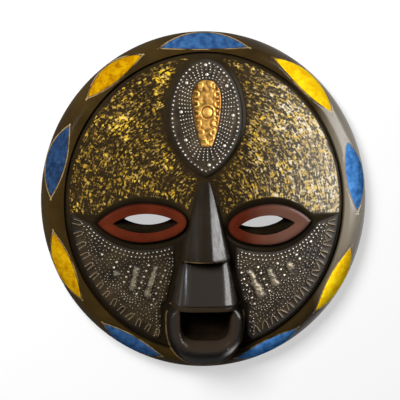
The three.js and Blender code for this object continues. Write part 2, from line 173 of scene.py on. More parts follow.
class Finish:
    """A material, and the few ways in which its nodes are made."""

    def __init__(self, name):
        self.material = bpy.data.materials.new(name)
        self.material.use_nodes = True
        self.tree = self.material.node_tree
        self.shader = self.tree.nodes["Principled BSDF"]
        self.place = self.node("ShaderNodeTexCoord", output="Object")

    def node(self, kind, settings=None, sockets=None, output=0):
        made = self.tree.nodes.new(kind)
        for key, value in (settings or {}).items():
            setattr(made, key, value)
        for key, value in (sockets or {}).items():
            self.feed(made.inputs[key], value)
        return Value(self, made.outputs[output])

    def feed(self, socket, value):
        if isinstance(value, Value):
            self.tree.links.new(value.socket, socket)
        else:
            socket.default_value = value

    def noise(self, size_mm, detail=3.0, roughness=0.55, stretch=(1, 1, 1)):
        """Noise between 0 and 1, whose blots are about size_mm across."""
        place = self.node("ShaderNodeMapping", None, {"Vector": self.place, "Scale": stretch})
        sockets = {
            "Vector": place,
            "Scale": 0.5 / (size_mm * MM),
            "Detail": detail,
            "Roughness": roughness,
        }
        return self.node("ShaderNodeTexNoise", None, sockets, "Fac")

    def attribute(self, name):
        return self.node("ShaderNodeAttribute", {"attribute_name": name}, None, "Fac")

    def mix(self, share, first, second):
        """A colour between two, by a share from 0 to 1."""
        sockets = {0: share, 6: first, 7: second}  # 6 and 7 are the node's two colours
        return self.node("ShaderNodeMix", {"data_type": "RGBA"}, sockets, 2)

    def bump(self, height, distance_mm, strength=1.0):
        sockets = {"Height": height, "Distance": distance_mm * MM, "Strength": strength}
        return self.node("ShaderNodeBump", None, sockets, "Normal")

    def set(self, **values):
        """Sets the shader's sockets: base_color=... feeds Base Color, and so on."""
        for key, value in values.items():
            title = key.replace("_", " ").title().replace("Ior", "IOR")
            self.feed(self.shader.inputs[title], value)
        return self.material


def rgb(red, green, blue):
    """A colour as a screen shows it, 0 to 255, turned into the light that Blender mixes."""
    shares = [channel / 255 for channel in (red, green, blue)]
    linear = [s / 12.92 if s < 0.04045 else ((s + 0.055) / 1.055) ** 2.4 for s in shares]
    return (*linear, 1)


# %% [markdown]
# ## The floor
# A plain white sheet, wide enough to be all that the camera sees around the mask. White
# shows through the eye slots too, where the mask lies close on the floor and no lamp
# reaches, so the floor glows a little, as a photographer's light table does.

# %% Floor
bpy.ops.object.select_all(action="DESELECT")
bpy.ops.mesh.primitive_plane_add(size=6, location=(0, 0, 0))
floor = bpy.context.object
floor.name = "floor"
paper = Finish("white_paper")
paper.set(base_color=(0.3, 0.3, 0.3, 1), roughness=0.9, specular_ior_level=0)
floor.data.materials.append(paper.set(emission_color=(1, 1, 1, 1), emission_strength=0.54))

# %% [markdown]
# ## The carving, as a height over a plan
# The front of the mask could be modelled from a sphere and pushed about, but a carver
# starts from a drawing on the block and cuts down from it. The same is done here: the
# plan holds the outlines, a function gives the height of the wood over each point, and
# Delaunay triangulation joins the points. Edges stay crisp, because every outline is a
# line in the plan, and points are dense only where the surface is busy.
# The sizes are the CAD model's, in millimetres, and the overall ones are read from it.

# %% Sizes of the bowl
wood_low, wood_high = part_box("wooden_mask")
HALF_WIDTH = (wood_high.x - wood_low.x) / 2 / MM
HALF_HEIGHT = (wood_high.y - wood_low.y) / 2 / MM
RIM_BAND_SIDE = 25
RIM_BAND_END = 19.5
FOOT_INSET = 3
RIM_EDGE_Z = 8
RIM_TOP_Z = 32
GROOVE_SHARE = 0.12  # the groove's part of the band
GROOVE_DEPTH = 3.4
FACE_EDGE_Z = 31
FACE_RISE = 16
WALL = 18
BACK_LAND = 19
FACE_HALF_WIDTH = HALF_WIDTH - RIM_BAND_SIDE
FACE_HALF_HEIGHT = HALF_HEIGHT - RIM_BAND_END


def lerp(first, second, share):
    return first + (second - first) * share


def soft_step(value):
    value = np.clip(value, 0, 1)
    return value * value * (3 - 2 * value)


def soft_max(first, second, radius):
    """The higher of two surfaces, with a fillet of about this radius between them."""
    return (first + second + np.sqrt((first - second) ** 2 + radius**2)) / 2


def face_share(x, y):
    return np.hypot(x / FACE_HALF_WIDTH, y / FACE_HALF_HEIGHT)


def face_height(x, y):
    span = np.minimum(face_share(x, y), 1)
    return FACE_EDGE_Z + FACE_RISE * (1 - span**2)


def band_share(x, y):
    """0 on the inner edge of the groove, 1 on the mask's widest line, by Newton's steps."""
    share = (face_share(x, y) - 1) * 5
    for _ in range(7):
        half_width = FACE_HALF_WIDTH + RIM_BAND_SIDE * share
        half_height = FACE_HALF_HEIGHT + RIM_BAND_END * share
        span = np.maximum(np.hypot(x / half_width, y / half_height), 1e-6)
        slope = x**2 * RIM_BAND_SIDE / half_width**3 + y**2 * RIM_BAND_END / half_height**3
        share = np.clip(share + (span - 1) * span / np.maximum(slope, 1e-5), -1, 1.2)
    return share


def bowl_height(x, y):
    """Rim, groove and domed face."""
    share = band_share(x, y)
    inwards = np.clip((1 - share) / (1 - GROOVE_SHARE), 0, 1)
    rim = lerp(RIM_EDGE_Z, RIM_TOP_Z, np.sqrt(1 - (1 - inwards) ** 2))
    across = np.clip(share / GROOVE_SHARE, 0, 1)
    groove = lerp(FACE_EDGE_Z, RIM_TOP_Z, across) - GROOVE_DEPTH * (1 - (2 * across - 1) ** 2)
    height = np.where(share > GROOVE_SHARE, rim, groove)
    return np.where(share <= 0, face_height(x, y), height)


# %% [markdown]
# ## Eyes and the forehead's seat
# Lids, eye slots and the seat of the forehead sheet are all almonds. `almond_reach`
# says how far outside such an outline a point is (less than nothing inside it), and a
# short list of (reach, height) pairs is then the profile that the carver's gouge left.
# The two eyes were cut by eye and differ a little. Each has a frame of its own, in which
# the first number counts outwards from the nose and the second one up.

# %% Eyes


class Eye(NamedTuple):
    side: int
    x: float
    y: float
    half: tuple  # half length and half height of the lid
    tilt: float  # degrees
    slot_half: float
    lean: float  # how much nearer to the nose the slot's back end is


EYES = (
    Eye(side=-1, x=-57, y=-15, half=(41, 18.5), tilt=1.6, slot_half=29.5, lean=3.1),
    Eye(side=1, x=58.6, y=-17, half=(38.5, 19.25), tilt=3.4, slot_half=26, lean=5.5),
)
LID_POINTS = (1.7, 1.0)  # outer end, inner end: 1 is round, 2 is pointed
ALMOND_FAR = 60.0  # no reach is counted beyond this
SLOT_HALF_HEIGHT = 8.8
SLOT_BACK_HALF = (22, 6)
SLOT_POINT = 1.75
SLOT_SHIFT = 3
SLOT_BACK_RISE = 2
MOAT_WIDTH = 4.5
MOAT_DEPTH = 1.2
# how far outside the lid's outline, and the height there above the face
LID_PROFILE = (
    (-12, 2.3), (-5, 3.0), (-1.6, 2.75), (-0.5, 1.9), (0.4, -MOAT_DEPTH), (2.4, -MOAT_DEPTH),
    (3.6, -MOAT_DEPTH * 0.5), (MOAT_WIDTH, 0),
)


def from_eye(eye, along, across):
    """Places given in an eye's own frame, in the plan of the mask."""
    cos, sin = math.cos(math.radians(eye.tilt)), math.sin(math.radians(eye.tilt))
    out = eye.side * along
    return np.column_stack([eye.x + out * cos - across * sin, eye.y + out * sin + across * cos])


def to_eye(eye, x, y):
    """Places in the plan of the mask, in an eye's own frame."""
    cos, sin = math.cos(math.radians(eye.tilt)), math.sin(math.radians(eye.tilt))
    right, up = x - eye.x, y - eye.y
    return eye.side * (right * cos + up * sin), up * cos - right * sin


def almond(count, half, points):
    """An almond's outline in its own frame: half sizes, and how pointed its ends are."""
    turn = np.arange(count) / count * 2 * math.pi
    power = np.where(np.cos(turn) > 0, points[0], points[1])
    return half[0] * np.cos(turn), half[1] * np.sign(np.sin(turn)) * np.abs(np.sin(turn)) ** power


def halve(low, high, holds, steps=20):
    """Closes in, at each point, on the least value for which holds(value) is true."""
    for _ in range(steps):
        middle = (low + high) / 2
        found = holds(middle)
        low = np.where(found, low, middle)
        high = np.where(found, middle, high)
    return low, high


def almond_reach(along, across, half, point):
    def holds(grow):
        span = np.clip(1 - (along / (half[0] + grow)) ** 2, 0, 1)
        inside = np.abs(across) <= (half[1] + grow) * span ** (point / 2)
        return inside & (np.abs(along) <= half[0] + grow)

    least = np.full_like(along, -min(half) + 0.01)
    low, high = halve(least, np.full_like(along, ALMOND_FAR), holds, 26)
    return (low + high) / 2


def lid_outline(eye, grow=0.0, count=72):
    return from_eye(eye, *almond(count, (eye.half[0] + grow, eye.half[1] + grow), LID_POINTS))


def slot_outlines(eye, count=64):
    """The slot's outline in the face, and at its back end."""
    points = (SLOT_POINT, SLOT_POINT)
    along, across = almond(count, (eye.slot_half, SLOT_HALF_HEIGHT), points)
    front = from_eye(eye, along - SLOT_SHIFT, across)
    along, across = almond(count, SLOT_BACK_HALF, points)
    return front, from_eye(eye, along - SLOT_SHIFT - eye.lean, across + SLOT_BACK_RISE)


def lid_reach(x, y):
    """How far a point is outside the lid on its side of the mask."""
    reach = np.empty_like(x)
    for eye in EYES:
        here = x * eye.side >= 0
        along, across = to_eye(eye, x[here], y[here])
        reach[here] = almond_reach(along, across, eye.half, np.where(along > 0, *LID_POINTS))
    return reach


# %% Seat of the forehead sheet
PAD_TOP_Y = FACE_HALF_HEIGHT - 1.5
PAD_BOTTOM_Y = 27
PAD_MIDDLE_Y = (PAD_TOP_Y + PAD_BOTTOM_Y) / 2
PAD_HALF = ((PAD_TOP_Y - PAD_BOTTOM_Y) / 2, 35.5)
PAD_POINTS = (1.05, 1.5)  # upper end, lower end
PAD_PROUD = 2.2
PAD_PROFILE = ((-1.6, PAD_PROUD), (-0.7, 1.9), (0.3, 0.3), (1.2, 0))  # read as the lid's


def pad_reach(x, y):
    up = y - PAD_MIDDLE_Y
    return almond_reach(up, x, PAD_HALF, np.where(up > 0, *PAD_POINTS))


def pad_outline(grow, count=96):
    up, across = almond(count, (PAD_HALF[0] + grow, PAD_HALF[1] + grow), PAD_POINTS)
    return np.column_stack([-across, PAD_MIDDLE_Y + up])


# %% [markdown]
# ## Nose, muzzle, chin and mouth
# These stand high above the face. Each is a function of its own: the nose and the
# muzzle are cross-sections that change along Y, and the chin is a stack of rounded
# outlines. To find the chin's height at a point, the highest outline that still holds the
# point is found by halving. Where a feature is absent, its height is far below all wood,
# so that the higher of two surfaces can simply be taken.

# %% The tall features
NOSE_ROOT_Y = 22
NOSE_LENGTH = 69
NOSE_WIDTH = 48
NOSE_ROOT_WIDTH = 8
NOSE_FRONT_WIDTHS = (3.5, 14)
NOSE_TIP_Z = 75
NOSE_CREASE = 1.2  # how rounded the edges of the front are
NOSE_BASE_BOW = -1  # how far the nose's base bends up at its sides; below 0 it bends down
NOSE_CROWN = 0.3  # how much higher the middle of its front is, at the tip
NOSE_BEVEL = 2.2
NOSE_ROOT_SLOPE = 1.6
NOSE_FLANK_SHARE = 0.4  # of the flank's fall, how much is even; the rest is at its foot
NOSE_FLANK_POWER = 12
NOSE_REACH = 1.3  # how far out the flank is followed, as a share of its width
NOSE_BASE_Y = NOSE_ROOT_Y - NOSE_LENGTH
MUZZLE_LENGTH = 43
MUZZLE_HALF_WIDTHS = (21.5, 32)
MUZZLE_PLATE_HALF = 12
MUZZLE_ROUNDING = 0.034  # how fast its flanks curve down, per mm
MUZZLE_BEVEL = 1.6
MUZZLE_FLANK_POWER = 8
MUZZLE_UNDER_NOSE = 5  # how far it runs on under the nose
MUZZLE_TOP_Z = 58
LIP_Z = 72
LIP_Y = NOSE_BASE_Y - MUZZLE_LENGTH
WALL_SLOPE = 14  # how steep an end wall is cut
CHIN_MIDDLE_Y = LIP_Y - 14
CHIN_RISE = 18  # from its middle to its top, which the muzzle covers
CHIN_FOOT_Y = -HALF_HEIGHT + 2
CHIN_FOOT_Z = 1
CHIN_DRAW_IN = 20  # how much higher the lower end of its outline is at the crest
CHIN_CREST_Z = 62
CHIN_POWER = 2.6
CREST_DROP = 2.4  # how far below the crest the rounding of its edge begins
CREST_RADIUS = 3.4
MOUTH_HALF_WIDTH = 21.5
MOUTH_HEIGHT = 31
MOUTH_RISE = 9  # how far its outline goes on behind the lip
MOUTH_FLOOR_Z = 34
MOUTH_EDGE_Z = 52
LIP_BAND_TOP = 2.6  # the muzzle ends this far above its foot, and a band of wood follows
LIP_LEDGE = 1.8  # how far below the muzzle's foot the mouth is cut
MOUTH_FLOOR_SHARE = 0.94
MOUTH_POWER = 4.4
MOUTH_SPLAY = (3, 9)  # how far the lip's inner face leans out, at each side and below
CHIN_HALF_WIDTHS = (35.8, 32.8)  # foot, crest
ABSENT_Z = -50  # the height of a feature where there is none
UNCUT_Z = 200  # the height of a cut where nothing is cut


def nose_widths(y):
    """Half width at the face, and of the flat front."""
    down = np.clip((NOSE_ROOT_Y - y) / NOSE_LENGTH, 0, 1)
    base = lerp(NOSE_ROOT_WIDTH, NOSE_WIDTH, down**0.85) / 2
    return base, lerp(*NOSE_FRONT_WIDTHS, down**0.6) / 2


def edge_round(distance, radius):
    """How much a rounded edge has fallen at a distance inside it."""
    return radius * (1 - np.sqrt(1 - np.clip(1 - distance / radius, 0, 1) ** 2))


def nose_height(x, y):
    """A wedge with a flat front, whose flanks fall steeply near the face."""
    base, _ = nose_widths(y)
    bow = NOSE_BASE_BOW * (y < NOSE_ROOT_Y) * np.minimum(np.abs(x) / base, 1) ** 2
    bowed = y - bow * np.clip((NOSE_ROOT_Y - y) / NOSE_LENGTH, 0, 1)
    down = np.clip((NOSE_ROOT_Y - bowed) / NOSE_LENGTH, 0, 1)
    base, front = nose_widths(bowed)
    foot = face_height(np.zeros_like(y), bowed) - 1
    ridge = lerp(face_height(0, NOSE_ROOT_Y) + 1, NOSE_TIP_Z, down**1.08)
    beyond = np.abs(x) - front
    out = (beyond + np.hypot(beyond, NOSE_CREASE)) / 2 / (base - front)
    even = np.clip(out, 0, NOSE_REACH)
    fallen = NOSE_FLANK_SHARE * even + (1 - NOSE_FLANK_SHARE) * even**NOSE_FLANK_POWER
    flank = ridge - (ridge - foot) * fallen
    crown = NOSE_CROWN * down * np.minimum(np.abs(x) / front, 1) ** 2
    bevel = edge_round(bowed - NOSE_BASE_Y, NOSE_BEVEL)
    fall = np.maximum(NOSE_BASE_Y - bowed, 0) * WALL_SLOPE
    fall += np.maximum(y - NOSE_ROOT_Y, 0) * NOSE_ROOT_SLOPE
    return np.where(out < NOSE_REACH, flank - crown - bevel - fall, ABSENT_Z)


def muzzle_half_width(y):
    down = np.clip((NOSE_BASE_Y - y) / MUZZLE_LENGTH, 0, 1)
    return lerp(*MUZZLE_HALF_WIDTHS, down**0.9)


def muzzle_height(x, y):
    """A plate with rounded flanks."""
    down = np.clip((NOSE_BASE_Y - y) / MUZZLE_LENGTH, 0, 1)
    foot = face_height(np.zeros_like(y), y) - 6
    crown = lerp(MUZZLE_TOP_Z, LIP_Z, down**0.8)
    half_width = muzzle_half_width(y)
    beyond = np.maximum(np.abs(x) - MUZZLE_PLATE_HALF, 0)
    out = beyond / (half_width - MUZZLE_PLATE_HALF)
    steep = 0.75 * (crown - foot) * np.clip(out, 0, 1) ** MUZZLE_FLANK_POWER
    flank = MUZZLE_ROUNDING * beyond**2 + steep
    bevel = edge_round(y - LIP_Y - LIP_BAND_TOP, MUZZLE_BEVEL)
    fall = np.maximum(LIP_Y - LIP_LEDGE - y, 0)
    fall += np.maximum(y - NOSE_BASE_Y - MUZZLE_UNDER_NOSE, 0)
    return np.where(out < 1, crown - flank - bevel - fall * WALL_SLOPE, ABSENT_Z)


def round_reach(x, y, half_width, top, bottom, middle_y, power):
    """Under 1 inside a rounded outline, over 1 outside."""
    reach = np.where(y > middle_y, top - middle_y, middle_y - bottom)
    total = (np.abs(x) / half_width) ** power + (np.abs(y - middle_y) / reach) ** power
    return total ** (1 / power)


def chin_level(up):
    """Half width and lowest Y of the chin's outline, from its foot (0) to its crest (1)."""
    return lerp(*CHIN_HALF_WIDTHS, up**3), CHIN_FOOT_Y + CHIN_DRAW_IN * up**2


def chin_reach(x, y, up):
    half_width, bottom = chin_level(up)
    top = CHIN_MIDDLE_Y + CHIN_RISE
    return round_reach(x, y, half_width, top, bottom, CHIN_MIDDLE_Y, CHIN_POWER)


def chin_height(x, y):
    low, _ = halve(np.zeros_like(x), np.ones_like(x), lambda up: chin_reach(x, y, up) > 1)
    inset = (1 - chin_reach(x, y, 1.0)) * CHIN_HALF_WIDTHS[1]
    crest = CREST_DROP - CREST_DROP * edge_round(inset, CREST_RADIUS) / CREST_RADIUS
    height = lerp(CHIN_FOOT_Z, CHIN_CREST_Z - CREST_DROP, low) + crest * (low > 0.99)
    return np.where(chin_reach(x, y, 0.0) <= 1, height, ABSENT_Z)


def mouth_reach(x, y, out):
    half_width = MOUTH_HALF_WIDTH + MOUTH_SPLAY[0] * out
    top, bottom = LIP_Y + MOUTH_RISE, LIP_Y - MOUTH_HEIGHT - MOUTH_SPLAY[1] * out
    return round_reach(x, np.minimum(y, LIP_Y), half_width, top, bottom, LIP_Y, MOUTH_POWER)


def mouth_height(x, y):
    """The mouth's floor and walls: higher than all wood where there is no mouth."""
    inner = mouth_reach(x, y, 0.0)
    wall = soft_step((inner - MOUTH_FLOOR_SHARE) / (1 - MOUTH_FLOOR_SHARE))
    _, out = halve(np.zeros_like(x), np.ones_like(x), lambda out: mouth_reach(x, y, out) <= 1)
    slope = lerp(MOUTH_EDGE_Z, CHIN_CREST_Z + 0.3, np.sin(out * math.pi / 2))
    cut = np.where(inner <= 1, lerp(MOUTH_FLOOR_Z, MOUTH_EDGE_Z, wall), slope)
    is_mouth = (mouth_reach(x, y, 1.0) <= 1) & (y <= LIP_Y - LIP_LEDGE + 0.01)
    return np.where(is_mouth, cut, UNCUT_Z)


# %% [markdown]
# The seat and the eyes are laid on the bowl, the chin stands on it, and the mouth is cut
# into the chin. The nose runs into the face in a small fillet, as a knife leaves it. The
# muzzle covers the upper end of the mouth, so it comes last.

# %% Height of the carved front
NOSE_FILLET = 0.5


def front_height(x, y):
    seat = np.interp(pad_reach(x, y), *zip(*PAD_PROFILE))
    low = bowl_height(x, y) + seat + np.interp(lid_reach(x, y), *zip(*LID_PROFILE))
    chin = np.minimum(np.maximum(low, chin_height(x, y)), mouth_height(x, y))
    low = soft_max(chin, nose_height(x, y), NOSE_FILLET)
    return np.maximum(low, muzzle_height(x, y))


# %% [markdown]
# ## Painted leaves on the rim
# Nine pointed leaves lie along the rim, each between two cut lines that cross at its
# tips. A place on the rim is given by the angle round the mask and by the share of the
# band from the groove to the edge, so a leaf is the same formula everywhere.

# %% Leaves of the rim
# angle round the mask in degrees, length in mm, whether it is blue, how light it is: partly its
# paint and partly painted light, which is stronger on the right
LEAVES = [
    (90.3, 80, 1, 0.2), (50.1, 76, 0, 0.7), (10.5, 70, 1, 1), (-30.7, 72, 0, 1),
    (-66.3, 65, 1, 0.8), (-117.7, 63, 1, 0.2), (-156, 71, 0, 0.1), (163.3, 71.6, 1, 0),
    (124.9, 64.6, 0, 0),
]
LEAF_MIDDLE = 0.6
LEAF_HALF = 0.38
LINE_OVERRUN = 1.02
BAND_WIDTH = 22
LEAF_RING = 144  # distance of the leaves' middle line from the mask's middle
FAR_AWAY = 50.0  # stands for any distance to a leaf or a lid that is too long to matter


def leaf_reach(x, y):
    """How far outside the nearest leaf a point is, in mm, and that leaf's two marks."""
    share = band_share(x, y)
    angle = np.degrees(np.arctan2(y, x))
    best = np.full_like(x, FAR_AWAY)
    blue = np.zeros_like(x)
    light = np.zeros_like(x)
    for middle, length, is_blue, is_light in LEAVES:
        turn = np.radians((angle - middle + 180) % 360 - 180)
        along = turn * LEAF_RING / (length / 2)
        reach = (np.abs(share - LEAF_MIDDLE) - LEAF_HALF * (1 - along**2)) * BAND_WIDTH
        reach = np.where(np.abs(turn) < 0.6, reach, FAR_AWAY)
        blue = np.where(reach < best, is_blue, blue)
        light = np.where(reach < best, is_light, light)
        best = np.minimum(best, reach)
    return best, blue, light


def band_point(angle, share):
    """The point at an angle in degrees round the mask and a share across the band."""
    turn = np.radians(angle)
    half_width = FACE_HALF_WIDTH + RIM_BAND_SIDE * share
    half_height = FACE_HALF_HEIGHT + RIM_BAND_END * share
    radius = 1 / np.hypot(np.cos(turn) / half_width, np.sin(turn) / half_height)
    return np.column_stack([radius * np.cos(turn), radius * np.sin(turn)])


def leaf_lines(offset_mm=0.0):
    lines = []
    along = np.linspace(-LINE_OVERRUN, LINE_OVERRUN, 41)
    for middle, length, _, _ in LEAVES:
        angle = middle + np.degrees(along * (length / 2) / LEAF_RING)
        for side in (-1, 1):
            share = LEAF_MIDDLE + side * LEAF_HALF * (1 - along**2) + offset_mm / BAND_WIDTH
            lines.append(band_point(angle, np.clip(share, 0.13, 0.995)))
    return lines


# %% [markdown]
# ## From plan to mesh
# `Plan` collects points and lines, triangulates them, and leaves out what lies in a
# hole. Filling points are laid in a honeycomb, which gives even triangles, and none is
# laid right beside a line, where it would make slivers.

# %% The plan


class Plan:
    def __init__(self, outline, holes=()):
        self.points = []
        self.edges = []
        self.count = 0
        self.outline = outline
        self.holes = list(holes)
        for loop in (outline, *self.holes):
            self.line(loop, closed=True)

    def line(self, points, closed=False):
        """Lays a line that the triangles may not cross."""
        start = self.count
        self.dots(points)
        self.edges += [(start + i, start + i + 1) for i in range(len(points) - 1)]
        if closed:
            self.edges.append((start + len(points) - 1, start))

    def dots(self, points):
        self.points.append(np.asarray(points, float))
        self.count += len(points)

    def fill(self, spacing, wanted, clearance=0.45):
        """Fills where wanted(x, y) says so with a honeycomb of points."""
        low, high = self.outline.min(0), self.outline.max(0)
        rows = np.arange(low[1], high[1], spacing * math.sqrt(3) / 2)
        columns = np.arange(low[0], high[0], spacing)
        x, y = np.meshgrid(columns, rows)
        x = (x + np.arange(len(rows))[:, None] % 2 * spacing / 2).ravel()
        y = y.ravel()
        keep = wanted(x, y)
        x, y = x[keep], y[keep]
        keep = self.inside(x, y) & ~self.crowded(x, y, spacing * clearance)
        self.dots(np.column_stack([x[keep], y[keep]]))

    def crowded(self, x, y, distance):
        """Whether a point lies within a distance of what is already in the plan."""
        laid = np.vstack(self.points)
        starts, ends = laid[[a for a, _ in self.edges]], laid[[b for _, b in self.edges]]
        steps = np.linspace(0, 1, 9)[:, None, None]
        laid = np.vstack([laid, (starts + (ends - starts) * steps).reshape(-1, 2)])
        taken = {tuple(key) for key in np.floor(laid / distance).astype(int)}
        keys = np.floor(np.column_stack([x, y]) / distance).astype(int)
        around = [(i, j) for i in (-1, 0, 1) for j in (-1, 0, 1)]
        return np.array([any((a + i, b + j) in taken for i, j in around) for a, b in keys], bool)

    def inside(self, x, y):
        found = point_inside(x, y, self.outline)
        for hole in self.holes:
            found &= ~point_inside(x, y, hole)
        return found

    def triangles(self):
        points = np.vstack(self.points)
        laid = [Vector(point) for point in points]
        made = delaunay_2d_cdt(laid, self.edges, [], 0, 1e-4, False)
        places = np.array([tuple(point) for point in made[0]])
        faces = np.array([face for face in made[2] if len(face) == 3])
        middle = places[faces].mean(1)
        return places, faces[self.inside(middle[:, 0], middle[:, 1])]


def point_inside(x, y, loop):
    """Whether points lie inside a closed outline: a ray crosses it an odd number of times."""
    found = np.zeros(len(x), bool)
    ends = np.roll(loop, -1, axis=0)
    for (x1, y1), (x2, y2) in zip(loop, ends):
        if y1 == y2:
            continue
        crossing = (y1 > y) != (y2 > y)
        found ^= crossing & (x < x1 + (y - y1) / (y2 - y1) * (x2 - x1))
    return found


# %% [markdown]
# ## The wooden mask
# The forehead is covered with small cut grains that follow the round of the face. Noise
# has round blots, so it is averaged over a few steps along the round at each point,
# which smears the blots into grains of one width everywhere.

# %% Grain of the forehead
GRAIN_SIZE = 1.15
GRAIN_SMEAR = (-1.5, -0.75, 0, 0.75, 1.5)
GRAIN_DEPTH = 0.35
GRAIN_CONTRAST = 2.6
GRAIN_LEVEL = 0.45  # more leaves more of the surface standing
GRAIN_ZERO = 0.75  # a grain of this value is neither raised nor cut
GRAIN_FADE = 2.5  # the grains run out over this distance, beside the lids and the seat
FOREHEAD_LOW_Y = -9
# where the yellow was left thick: place, size, and how thick it is
PATCHES = [
    (-76, 72, 8, 1), (-72, 62, 5, 0.9), (-88, 46, 6, 0.6), (-38, 115, 6, 0.9), (-33, 119, 5, 0.8),
    (-41, 92, 5, 0.9), (-43, 102, 4, 0.6), (-36, 36, 8, 0.5), (-62, 28, 9, 0.5), (-34, 12, 9, 0.5),
    (-66, 8, 10, 0.3), (51, 78, 5, 0.8), (47, 63, 6, 0.8), (49, 42, 4, 1), (67, 37, 5, 1),
    (66, 71, 5, 0.5), (88, 68, 8, 0.5), (97, 13, 7, 0.6), (62, 8, 8, 0.4), (24, 28, 6, 0.4),
]


def grain(x, y):
    """The cut grains of the forehead: 0 in the cuts, 1 on top of what is left."""
    radius = np.maximum(np.hypot(x, y), 1)
    total = np.zeros_like(x)
    for step in GRAIN_SMEAR:
        places = zip((x - y / radius * step) / GRAIN_SIZE, (y + x / radius * step) / GRAIN_SIZE)
        total += [
            noise.noise((a, b, 0.3)) + 0.3 * noise.noise((a * 2, b * 2, 7.7)) for a, b in places
        ]
    return soft_step(total / len(GRAIN_SMEAR) * GRAIN_CONTRAST + GRAIN_LEVEL)


def patch_share(x, y):
    """How thick the yellow is, from the list of patches."""
    total = np.zeros_like(x)
    for px, py, size, thick in PATCHES:
        total = np.maximum(total, thick * np.exp(-((x - px) ** 2 + (y - py) ** 2) / size**2))
    thin = np.exp(-(x**2 + (y - 20) ** 2) / 22**2) + 0.8 * soft_step((7 - pad_reach(x, y)) / 6)
    return total - 0.7 * thin


def forehead_share(x, y):
    """1 where the forehead is cut with grains, 0 elsewhere, soft between."""
    eye = soft_step((lid_reach(x, y) - MOAT_WIDTH - 0.5) / GRAIN_FADE)
    pad = soft_step((pad_reach(x, y) - 1) / GRAIN_FADE)
    edge = soft_step((1 - face_share(x, y)) * 130 / 2 - 0.6)
    base, _ = nose_widths(y)
    beside_nose = np.where(y < NOSE_ROOT_Y + 12, soft_step((np.abs(x) - base - 1) / 4), 1)
    low = soft_step((y - FOREHEAD_LOW_Y) / 3)
    return eye * pad * edge * beside_nose * low


# %% Lines of the wooden front
RIM_COUNT = 300
LINE_STEP = 1.5
JUNCTION_COUNT = 200


def oval(half_width, half_height, count=RIM_COUNT):
    turn = np.arange(count) / count * 2 * math.pi
    return np.column_stack([half_width * np.cos(turn), half_height * np.sin(turn)])


def band_oval(share):
    return oval(FACE_HALF_WIDTH + RIM_BAND_SIDE * share, FACE_HALF_HEIGHT + RIM_BAND_END * share)


def upright_lines(half_width, top, bottom):
    """A line down each side of the mask, at a half width that changes with Y."""
    y = np.linspace(top, bottom, int((top - bottom) / LINE_STEP))
    right = np.column_stack([half_width(y), y])
    return [right, right * (-1, 1)]


def level_line(y, half_width):
    x = np.linspace(-half_width, half_width, int(2 * half_width / LINE_STEP))
    return np.column_stack([x, np.full_like(x, y)])


def round_outline(half_width, top, bottom, middle_y, power, count=72):
    turn = np.arange(count) / count * 2 * math.pi
    spread, rise = np.cos(turn), np.sin(turn)
    reach = np.where(rise > 0, top - middle_y, middle_y - bottom)
    x = half_width * np.sign(spread) * np.abs(spread) ** (2 / power)
    return np.column_stack([x, middle_y + reach * np.sign(rise) * np.abs(rise) ** (2 / power)])


def chin_junction(grow=0.0):
    """Where the chin stands on the rim and the face, or a line that runs outside it."""
    turn = np.linspace(math.radians(-196), math.radians(16), JUNCTION_COUNT)
    spread, rise = np.cos(turn), np.sin(turn)
    level = np.full(JUNCTION_COUNT, 0.4)
    for _ in range(12):
        half_width, bottom = chin_level(level)
        reach = np.where(rise > 0, CHIN_RISE, CHIN_MIDDLE_Y - bottom) + grow
        x = (half_width + grow) * np.sign(spread) * np.abs(spread) ** (2 / CHIN_POWER)
        y = CHIN_MIDDLE_Y + reach * np.sign(rise) * np.abs(rise) ** (2 / CHIN_POWER)
        wall = CHIN_CREST_Z - CREST_DROP - CHIN_FOOT_Z
        level = (level + np.clip((bowl_height(x, y) - CHIN_FOOT_Z) / wall, 0, 1)) / 2
    return np.column_stack([x, y])


slots = [slot_outlines(eye) for eye in EYES]
front = Plan(band_oval(1.0), [front_loop for front_loop, _ in slots])
for turn in np.radians(np.arange(6, 90, 6)):
    front.dots(band_oval(1 - (1 - GROOVE_SHARE) * (1 - math.cos(turn))))
for share in (-0.25, 0, 0.25, 0.5, 0.75, 1):
    front.line(band_oval(GROOVE_SHARE * share), closed=True)
for offset in (-0.8, 0, 0.8):
    for line in leaf_lines(offset):
        front.line(line)
for eye in EYES:
    for grow in (-7, *[reach for reach, _ in LID_PROFILE[1:]]):
        front.line(lid_outline(eye, grow), closed=True)
for grow, _ in PAD_PROFILE:
    front.line(pad_outline(grow), closed=True)
for share in (0, 0.4, 0.65, 0.78, 0.86, 0.92, 0.96, 1):
    def flank_line(y):
        base, ridge = nose_widths(y)
        return lerp(ridge, base, share)

    for line in upright_lines(flank_line, NOSE_ROOT_Y, NOSE_BASE_Y + 4):
        front.line(line)
for drop in (2.3, 1.5, 0.8, 0.3, 0.1, -0.7, -1.6):
    line = level_line(NOSE_BASE_Y + drop, NOSE_WIDTH / 2)
    front.line(line + np.outer((line[:, 0] / (NOSE_WIDTH / 2)) ** 2 * NOSE_BASE_BOW, (0, 1)))
for share in (1.01, 0.995, 0.98, 0.95, 0.91, 0.86, 0.8, 0.7):
    for line in upright_lines(lambda y: muzzle_half_width(y) * share, NOSE_BASE_Y - 2, LIP_Y):
        front.line(line)
for y in np.array([5, 4.2, 3.4, 2.9, 2.5, 1.2, 0, -0.9, -LIP_LEDGE, -LIP_LEDGE - 0.1]) + LIP_Y:
    front.line(level_line(y, MUZZLE_HALF_WIDTHS[1]))
for up in (0, 0.3, 0.45, 0.6, 0.75, 0.88, 0.96, 1):
    width, bottom = chin_level(up)
    top = CHIN_MIDDLE_Y + CHIN_RISE
    front.line(round_outline(width, top, bottom, CHIN_MIDDLE_Y, CHIN_POWER), closed=True)
for grow in (0, 0.7, 1.4):
    front.line(chin_junction(grow))
